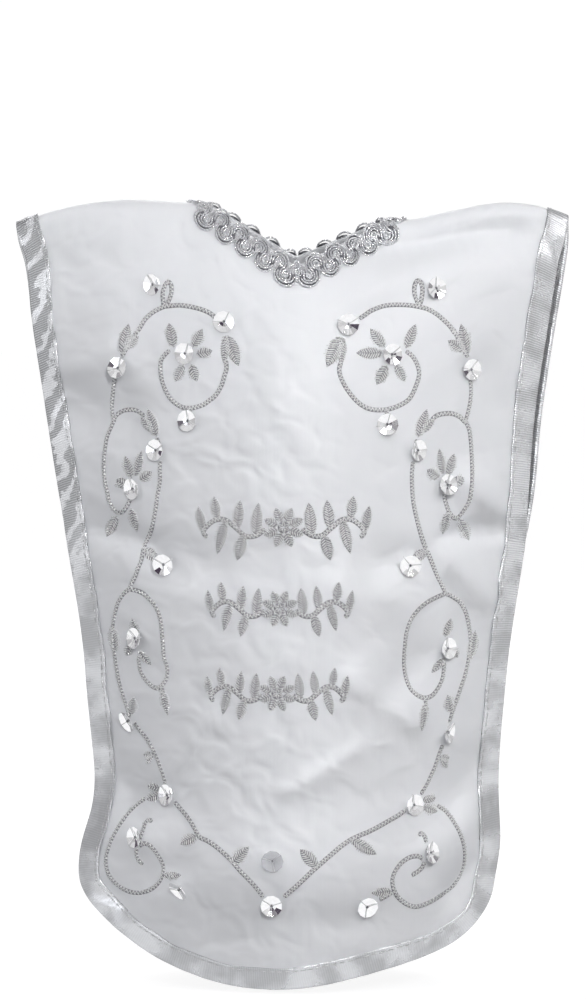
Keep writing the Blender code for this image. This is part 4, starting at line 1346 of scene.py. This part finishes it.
class MakeStitches(bpy.types.Operator):
    """Seam along the ribbon, and the stitches that hold front and back together at the sides"""

    bl_idname = "bottle_cover.stitches"
    bl_label = "Sewing stitches"

    def execute(self, context):
        settings = context.scene.bottle_cover_ribbon
        threads = Threads(6)
        line = edge_line(EDGE_STEP)
        along = np.arange(len(line)) * EDGE_STEP
        seam = ribbon_reach(along, settings) - SEAM_INSIDE
        spots = line + into_cloth(line) * seam[:, None]
        top, normals = ribbon_top(along, spots, seam, settings)
        rise = RIBBON_REST + settings.wall / MM
        under = on_cloth(spots)[0] - normals * (rise + 0.05)
        taken = max(3, round(settings.stitch / MM / EDGE_STEP))
        spacing = settings.spacing / MM / EDGE_STEP
        first = (np.arange(int((len(line) - taken - 1) / spacing)) * spacing).astype(int)
        run = first[:, None] + np.arange(taken + 1)
        bow = np.sin(np.linspace(0.0, math.pi, taken + 1)) ** 0.5 * 0.16 - 0.08
        threads.lay(top[run] + normals[run] * bow[:, None], normals[run], 0.17, 0.13)
        threads.lay(under[run] - normals[run] * bow[:, None], normals[run], 0.17, 0.13)
        for side in (-1, 1):
            self.whip(threads, side, rise + 0.05)
        finish = thread_material("sewing_thread", settings.thread, 0.3, 0.5, 0.2)
        sew_on(threads.finish("sewing_stitches", finish))
        return {"FINISHED"}

    def whip(self, threads, side, rise):
        """Short stitches over both edges, from the front's ribbon to the back's."""
        for height in np.arange(SEWN_FROM - 2.0, SEWN_TO, -WHIP_SPACING):
            legs = []
            for panel in (FRONT, BACK):
                level = np.array([height])
                width = half_width(np.array([float(side)]), level, np.array([panel]))
                for inward in (1.3, 0.6):
                    x = side * (width - inward)
                    down = down_at(x, level, panel)
                    legs.append((draped(x, down) + facing(x, down) * rise)[0])
                edge = draped(side * width, down_at(side * width, level, panel))[0]
                legs.append(edge + np.array((side * 0.78, -panel * 0.2, 0.0)))
            path = curved(legs[:3] + legs[:2:-1], 5)
            ups = unit(path - path.mean(axis=0))
            threads.lay(path, ups, 0.1, 0.1)


class MakeBraid(bpy.types.Operator):
    """Scroll braid round the neck: cords side by side in one winding band, over a dark band that is
    painted shadow between the cords
    """

    bl_idname = "bottle_cover.braid"
    bl_label = "Neck braid"

    def execute(self, context):
        settings = context.scene.bottle_cover_braid
        line = neck_line(0.0, NECK_FINE)
        line = np.roll(line, -int(np.argmin(line[:, 0])), axis=0)
        out = sideways(line, closed=True, reach=6)
        out *= np.sign(np.sum(out * (line - (NECK_MIDDLE, 0.0)), axis=1, keepdims=True))
        total = len(line) * NECK_FINE
        scrolls = self.scrolls(total - 2 * BRAID_TRIM, settings)
        threads, ground = Threads(8), Threads(6)
        cord = settings.cord / MM
        for number in range(settings.cords):
            off = (number - (settings.cords - 1) / 2) * settings.apart / MM
            centres, normals = self.laid(scrolls, off, line, out, number)
            centres += normals * (BRAID_REST + cord)
            threads.lay(centres, normals, cord, cord * 0.9, **CORD_TWIST)
        # A dark flat band under the cords: painted shadow in the gaps between them
        centres, normals = self.laid(scrolls, 0.0, line, out, 0)
        centres += normals * (BRAID_REST + cord * 0.3)
        half = (settings.cords - 1) / 2 * settings.apart / MM
        ground.lay(centres, normals, half, cord * 0.5)
        self.core(threads, line, out)
        self.fray(threads, line, out)
        finish = thread_material("silver_cord", settings.colour, 0.5, 0.9, 0.45, metallic=0.8)
        stand_for(threads.finish("scroll_braid", finish), "neck_braid")
        shade = thread_material("braid_shade", settings.ground, 0.5, 0.9, 0.1, metallic=0.2)
        sew_on(ground.finish("braid_painted_shadow", shade))
        return {"FINISHED"}

    def laid(self, scrolls, off, line, out, start):
        """Places on the cloth, and their facings, along a cord that lies off the band's middle."""
        spots = evenly(scrolls + sideways(scrolls) * off, 0.3)
        cell = np.clip((spots[:, 0] + BRAID_TRIM) / NECK_FINE, 0, len(line) - 1)
        cell = cell.round().astype(int)
        ground, normals = on_cloth(line[cell] + out[cell] * spots[:, 1:])
        lift = 0.25 * (1 + np.cos(spots[:, 1] * 1.4 + start))
        return ground + normals * lift[:, None], normals

    def scrolls(self, length, settings):
        """The middle cord as a place along the band and across it: round scrolls in turn."""
        count = round(length / (settings.scroll / MM)) * 2
        step = length / count
        swing = settings.swing / MM
        radius = math.hypot(step, 2 * swing) / 2
        slope = math.atan2(2 * swing, step)
        points = []
        for number in range(count):
            side = 1 if number % 2 else -1
            for turn in np.linspace(math.pi + slope, -slope, 26, endpoint=False):
                points.append((
                    step * (number + 0.5) + radius * math.cos(turn),
                    side * (swing + radius * math.sin(turn)),
                ))
        return np.array(points)

    def core(self, threads, line, out):
        """Two cords under the scrolls that wind about each other along the band's middle."""
        place = np.arange(6, len(line) - 6)
        for start in (0.0, math.pi):
            swing = 0.75 * np.sin(place * NECK_FINE * 2 * math.pi / CORE_WAVE + start)
            ground, normals = on_cloth(line[place] + out[place] * swing[:, None])
            rise = BRAID_REST + 0.3 + 0.1 * np.cos(place * NECK_FINE * 1.7 + start)
            threads.lay(ground + normals * rise[:, None], normals, 0.5, 0.3, **CORD_TWIST)

    def fray(self, threads, line, out):
        """Loose threads at the cut end on the left shoulder."""
        chance = np.random.default_rng(FRAY_SEED)
        for number in range(9):
            across = out[0] * (number - 4) * 0.7
            way = np.array((-1.0, 0.35)) + chance.uniform(-0.5, 0.5, 2)
            far = line[4] + across + unit(way) * chance.uniform(1.2, 2.4)
            ground, normals = on_cloth(np.linspace(line[4] + across, far, 7))
            rise = BRAID_REST + 0.4 + np.linspace(0.0, chance.uniform(0.2, 1.4), 7)
            threads.lay(ground + normals * rise[:, None], normals, 0.13, 0.13)


class MakeVine(bpy.types.Operator):
    """Embroidered vine on both sides: stems and leaves in satin stitch over soft padding"""

    bl_idname = "bottle_cover.vine"
    bl_label = "Embroidered vine"

    def execute(self, context):
        settings = context.scene.bottle_cover_vine
        wide = settings.thread / MM
        chance = np.random.default_rng(VINE_SEED)
        stem_thread = thread_material("stem_thread", settings.stem_colour, 0.5, 0.6, 0.6)
        padding = Threads(6)
        pieces = []
        for side, lines in (("left", STEMS_LEFT), ("right", STEMS_RIGHT)):
            threads = Threads(5)
            for line in lines:
                pad_stem(padding, line, settings)
            stitch_all(threads, [seen_stem(line, settings, chance) for line in lines], wide)
            pieces.append(threads.finish(f"vine_stems_{side}", stem_thread))
        threads = Threads(5)
        pad_leaves(padding, LEAVES_LEFT + LEAVES_RIGHT, settings)
        leaves = [seen_leaf(leaf, settings, chance) for leaf in LEAVES_LEFT + LEAVES_RIGHT]
        stitch_all(threads, leaves, wide * LEAF_THREAD)
        leaf_thread = thread_material("leaf_thread", settings.leaf_colour, 0.5, 0.6, 0.6)
        pieces.append(threads.finish("vine_leaves", leaf_thread))
        pieces.append(padding.finish("vine_padding_shade", padding_shade_material("vine_padding_shade", settings)))
        sew_on(*pieces)
        return {"FINISHED"}


class MakeOrnament(bpy.types.Operator):
    """Three rows of stitched flowers and sprays in the middle of the front"""

    bl_idname = "bottle_cover.ornament"
    bl_label = "Middle ornament"

    def execute(self, context):
        settings = context.scene.bottle_cover_vine
        chance = np.random.default_rng(ORNAMENT_SEED)
        sprays, leaves = [], []
        for middle, height, wide, petal in ORNAMENT_ROWS:
            for side in (-1, 1):
                line = [(middle + side * x * wide, height + z * wide) for x, z in SPRAY_STEM]
                sprays.append(line)
                for x0, z0, x1, z1, width in SPRAY_LEAVES:
                    leaves.append((
                        middle + side * x0 * wide, height + z0 * wide,
                        middle + side * x1 * wide, height + z1 * wide, width * wide,
                    ))
            for number in range(PETALS):
                angle = 2 * math.pi * (number + 0.5) / PETALS
                way = (math.cos(angle), math.sin(angle))
                leaves.append((
                    middle + way[0] * petal * 0.26, height + way[1] * petal * 0.26,
                    middle + way[0] * petal, height + way[1] * petal, petal * 0.46,
                ))
            sprays.append([
                (middle + 1.1 * math.cos(angle), height + 1.1 * math.sin(angle))
                for angle in np.linspace(0.0, 2 * math.pi, 13)
            ])
        stems, flowers, padding = Threads(5), Threads(5), Threads(6)
        for line in sprays:
            pad_stem(padding, line, settings, SPRAY_SHARE)
        pad_leaves(padding, leaves, settings)
        wide = settings.thread / MM
        pieces = []
        stitch_all(stems, [seen_stem(line, settings, chance, SPRAY_SHARE) for line in sprays], wide)
        stitches = [seen_leaf(leaf, settings, chance) for leaf in leaves]
        stitch_all(flowers, stitches, wide * LEAF_THREAD)
        for name, threads, colour in (
            ("ornament_sprays", stems, settings.stem_colour),
            ("ornament_flowers", flowers, settings.leaf_colour),
        ):
            pieces.append(threads.finish(name, thread_material(name, colour, 0.5, 0.6, 0.4)))
        material = padding_shade_material("ornament_padding_shade", settings)
        pieces.append(padding.finish("ornament_padding_shade", material))
        sew_on(*pieces)
        return {"FINISHED"}


class MakeSequins(bpy.types.Operator):
    """Faceted cup sequins, each held by a thread through its middle"""

    bl_idname = "bottle_cover.sequins"
    bl_label = "Sequins"

    def execute(self, context):
        settings = context.scene.bottle_cover_sequins
        foil = foil_material(settings.colour)
        clear = clear_material()
        holding, shadow_knots = Threads(6), Threads(6)
        names = sorted(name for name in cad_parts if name.startswith("sequin_"))
        if not names:
            raise RuntimeError("the frame has no sequins")
        for number, name in enumerate(names):
            finish = clear if name == "sequin_middle_clear" else foil
            self.cup(name, number, finish, (holding, shadow_knots), settings)
        bright = thread_material("sequin_thread", (0.78, 0.78, 0.8), 0.3, 0.5, 0.2)
        # The knots are dark grey: painted shadow in the sequins' holes
        dark = thread_material("sequin_shadow_knot", (0.2, 0.2, 0.23), 0.3, 0.5, 0.0)
        sew_on(holding.finish("sequin_threads", bright), shadow_knots.finish("sequin_knots", dark))
        return {"FINISHED"}

    def cup(self, name, number, finish, threads, settings):
        """One sequin where its node is, open to the side that the node is open to."""
        spots = np.array([tuple(vertex.co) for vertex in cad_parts[name].data.vertices]) / MM
        away = spots - spots.mean(axis=0)
        normal = np.linalg.svd(away)[2][2]
        distance = np.linalg.norm(away, axis=1)
        rim = spots[distance > SEQUIN_RADIUS * 0.8]
        pit = spots[distance < SEQUIN_RADIUS * 0.4]
        if np.dot(rim.mean(axis=0) - pit.mean(axis=0), normal) < 0:
            normal = -normal
        right = unit(np.cross(normal, np.array((0.0, 0.0, 1.0))))
        up = np.cross(right, normal)
        base = pit.mean(axis=0)
        facets = settings.facets
        hole = settings.hole / MM
        rings = (
            (hole, 0.0), (SEQUIN_RADIUS * 0.46, SEQUIN_WALL), (SEQUIN_RADIUS, SEQUIN_CUP),
            (SEQUIN_RADIUS * 0.985, SEQUIN_CUP + SEQUIN_WALL), (SEQUIN_RADIUS * 0.45, 0.34),
            (hole, 0.2),
        )
        turn = SEQUIN_TURN * number
        places = []
        for radius, height in rings:
            for k in range(facets):
                angle = 2 * math.pi * k / facets + turn
                spoke = right * math.cos(angle) + up * math.sin(angle)
                places.append(base + spoke * radius + normal * (height - SEQUIN_SUNK))
        faces = closed_grid(len(rings), facets)
        sequin = new_object(name + "_foil", places, faces, finish)
        face_outward(sequin)
        sequin.data.shade_flat()
        stand_for(sequin, name)
        self.thread(base, normal, right, up, number, threads, settings)

    def thread(self, base, normal, right, up, number, threads, settings):
        """Stitches from the middle hole over the rim, with a small knot in the hole whose dark grey
        is the hole's painted shadow.
        """
        holding, shadow_knots = threads
        radius = settings.thread / MM
        for turn in np.array((0.0, 2.0, 4.1)) + 2.4 * number + 0.6:
            spoke = right * math.cos(turn) + up * math.sin(turn)
            path = curved([
                base + normal * 0.1, base + normal * 0.36 + spoke * 0.4,
                base + normal * 0.56 + spoke * SEQUIN_RADIUS * 0.5,
                base + normal * (SEQUIN_CUP + 0.2) + spoke * SEQUIN_RADIUS,
                base + normal * 0.1 + spoke * (SEQUIN_RADIUS + 0.25),
            ], 6)
            holding.lay(path, np.tile(normal, (len(path), 1)), radius, radius)
        ring = np.linspace(0.0, 2 * math.pi, KNOT_STEPS)
        knot = base + normal * 0.16 + np.outer(np.cos(ring), right) * 0.2
        knot = knot + np.outer(np.sin(ring), up) * 0.2
        shadow_knots.lay(knot, np.tile(normal, (KNOT_STEPS, 1)), 0.24, 0.24)


class MakeStage(bpy.types.Operator):
    """Pale floor, soft lights and the camera"""

    bl_idname = "bottle_cover.stage"
    bl_label = "Stage and camera"

    def execute(self, context):
        settings = context.scene.bottle_cover_stage
        scene = context.scene
        self.floor(scene, settings.floor_gap)
        self.light("key", (0.85, -0.75, 0.75), 0.45, settings.key, (1.0, 0.995, 0.98))
        self.light("fill", (-1.2, -0.9, 0.0), 0.7, settings.fill, (0.95, 0.97, 1.0))
        self.light("front", (0.25, -1.5, 0.5), 0.25, settings.front, WHITE[:3], FRONT_BEAM)
        self.light("rear", (-0.3, 1.3, 0.4), 0.8, settings.fill * 2, WHITE[:3])
        self.surroundings(scene, settings.air)
        self.camera(scene)
        return {"FINISHED"}

    def floor(self, scene, gap):
        """Paper that the viewer and the foil see bright and that throws little light."""
        mesh = bpy.data.meshes.new("floor")
        work = bmesh.new()
        bmesh.ops.create_grid(work, x_segments=8, y_segments=8, size=FLOOR_HALF_SIZE)
        work.to_mesh(mesh)
        work.free()
        floor = bpy.data.objects.new("floor", mesh)
        floor.location.z = CAD_BOX[0].z - gap
        scene.collection.objects.link(floor)
        paper, tree, shader = bare_material("pale_paper")
        grain = noise(tree, add_node(tree, "TexCoord").outputs["Object"], 240.0, 3.0)
        paths = add_node(tree, "LightPath").outputs
        seen = maths(tree, "MAXIMUM", paths["Is Camera Ray"], paths["Is Glossy Ray"])
        set_inputs(
            shader,
            Base_Color=blended(tree, grain, (0.13, 0.13, 0.14, 1.0), (0.16, 0.16, 0.16, 1.0)),
            Roughness=0.9,
            Emission_Color=WHITE,
            Emission_Strength=maths(tree, "MULTIPLY", seen, 0.9),
        )
        mesh.materials.append(paper)

    def camera(self, scene):
        """A long lens that looks a little down on the cover, and the picture's tones."""
        scene.view_settings.view_transform = "Standard"
        lens = bpy.data.cameras.new("camera")
        lens.sensor_fit = "VERTICAL"
        lens.sensor_height = 24.0
        lens.lens = 24.0 * CAMERA_DISTANCE / PICTURE_HEIGHT
        camera = bpy.data.objects.new("camera", lens)
        away = Vector((0.0, -math.cos(SIGHT_RISE), math.sin(SIGHT_RISE)))
        camera.location = AIM + away * CAMERA_DISTANCE
        camera.rotation_euler = (-away).to_track_quat("-Z", "Y").to_euler()
        scene.collection.objects.link(camera)
        scene.camera = camera

    def surroundings(self, scene, strength):
        """White behind the object, and a room that is darker low in front for the metal to show."""
        world = bpy.data.worlds.new("studio")
        world.use_nodes = True
        scene.world = world
        tree = world.node_tree
        way = add_node(tree, "TexCoord").outputs["Generated"]
        parts = add_node(tree, "SeparateXYZ", way)
        level = maths(tree, "MULTIPLY_ADD", parts.outputs[0], 0.35, parts.outputs[2])
        level = maths(tree, "MULTIPLY_ADD", parts.outputs[1], 0.3, level)
        share = ramp(tree, level, -0.8, 0.5, 0.5, 1.0)
        lit = ramp(tree, noise(tree, way, 2.6, 1.0), 0.43, 0.48, 0.04, 1.0)
        share = maths(tree, "MULTIPLY", share, lit)
        paths = add_node(tree, "LightPath").outputs
        mirrored = maths(tree, "MULTIPLY_ADD", paths["Is Glossy Ray"], 0.35, 1.0)
        room = tree.nodes["Background"]
        set_inputs(
            room,
            Color=blended(tree, share, (0.05, 0.03, 0.06, 1.0), WHITE),
            Strength=maths(tree, "MULTIPLY", mirrored, strength),
        )
        plain = add_node(tree, "Background", WHITE, 1.02)
        mix = add_node(
            tree, "MixShader", paths["Is Camera Ray"], room.outputs[0], plain.outputs[0]
        )
        set_inputs(tree.nodes["World Output"], Surface=mix.outputs[0])

    def light(self, name, place, size, power, colour, spread=180):
        """A square lamp. spread is the angle of its beam in degrees."""
        lamp = bpy.data.lights.new(name, "AREA")
        lamp.size = size
        lamp.spread = math.radians(spread)
        lamp.energy = power
        lamp.color = colour
        made = bpy.data.objects.new(name, lamp)
        made.location = place
        made.rotation_euler = (LIT_SPOT - Vector(place)).to_track_quat("-Z", "Y").to_euler()
        bpy.context.scene.collection.objects.link(made)


class MAKE_PT_bottle_cover(bpy.types.Panel):
    """Sizes, colours and makers of the bottle cover"""

    bl_idname = "MAKE_PT_bottle_cover"
    bl_label = "Bottle Cover"
    bl_space_type = "VIEW_3D"
    bl_region_type = "UI"
    bl_category = "Bottle Cover"

    def draw(self, context):
        layout = self.layout
        for label, _, operators in PARTS:
            box = layout.box()
            group = getattr(context.scene, label)
            for name in group.bl_rna.properties.keys():
                if name not in ("rna_type", "name"):
                    box.prop(group, name)
            for operator in operators:
                box.operator(operator.bl_idname)


PARTS = (
    # the scene's property, its settings, the operators that use them
    ("bottle_cover_cloth", ClothSettings, (MakeCloth,)),
    ("bottle_cover_ribbon", RibbonSettings, (MakeBinding, MakeStitches)),
    ("bottle_cover_braid", BraidSettings, (MakeBraid,)),
    ("bottle_cover_vine", VineSettings, (MakeVine, MakeOrnament)),
    ("bottle_cover_sequins", SequinSettings, (MakeSequins,)),
    ("bottle_cover_stage", StageSettings, (MakeStage,)),
)
OPERATORS = [operator for _, _, operators in PARTS for operator in operators]


def register():
    for name, settings, _ in PARTS:
        bpy.utils.register_class(settings)
        setattr(bpy.types.Scene, name, PointerProperty(type=settings))
    for operator in OPERATORS:
        bpy.utils.register_class(operator)
    bpy.utils.register_class(MAKE_PT_bottle_cover)


def unregister():
    bpy.utils.unregister_class(MAKE_PT_bottle_cover)
    for operator in reversed(OPERATORS):
        bpy.utils.unregister_class(operator)
    for name, settings, _ in PARTS:
        delattr(bpy.types.Scene, name)
        bpy.utils.unregister_class(settings)


def main():
    register()
    ops = bpy.ops.bottle_cover
    ops.cloth()
    ops.binding()
    ops.stitches()
    ops.braid()
    ops.vine()
    ops.ornament()
    ops.sequins()
    ops.stage()


if __name__ == "__main__":
    main()
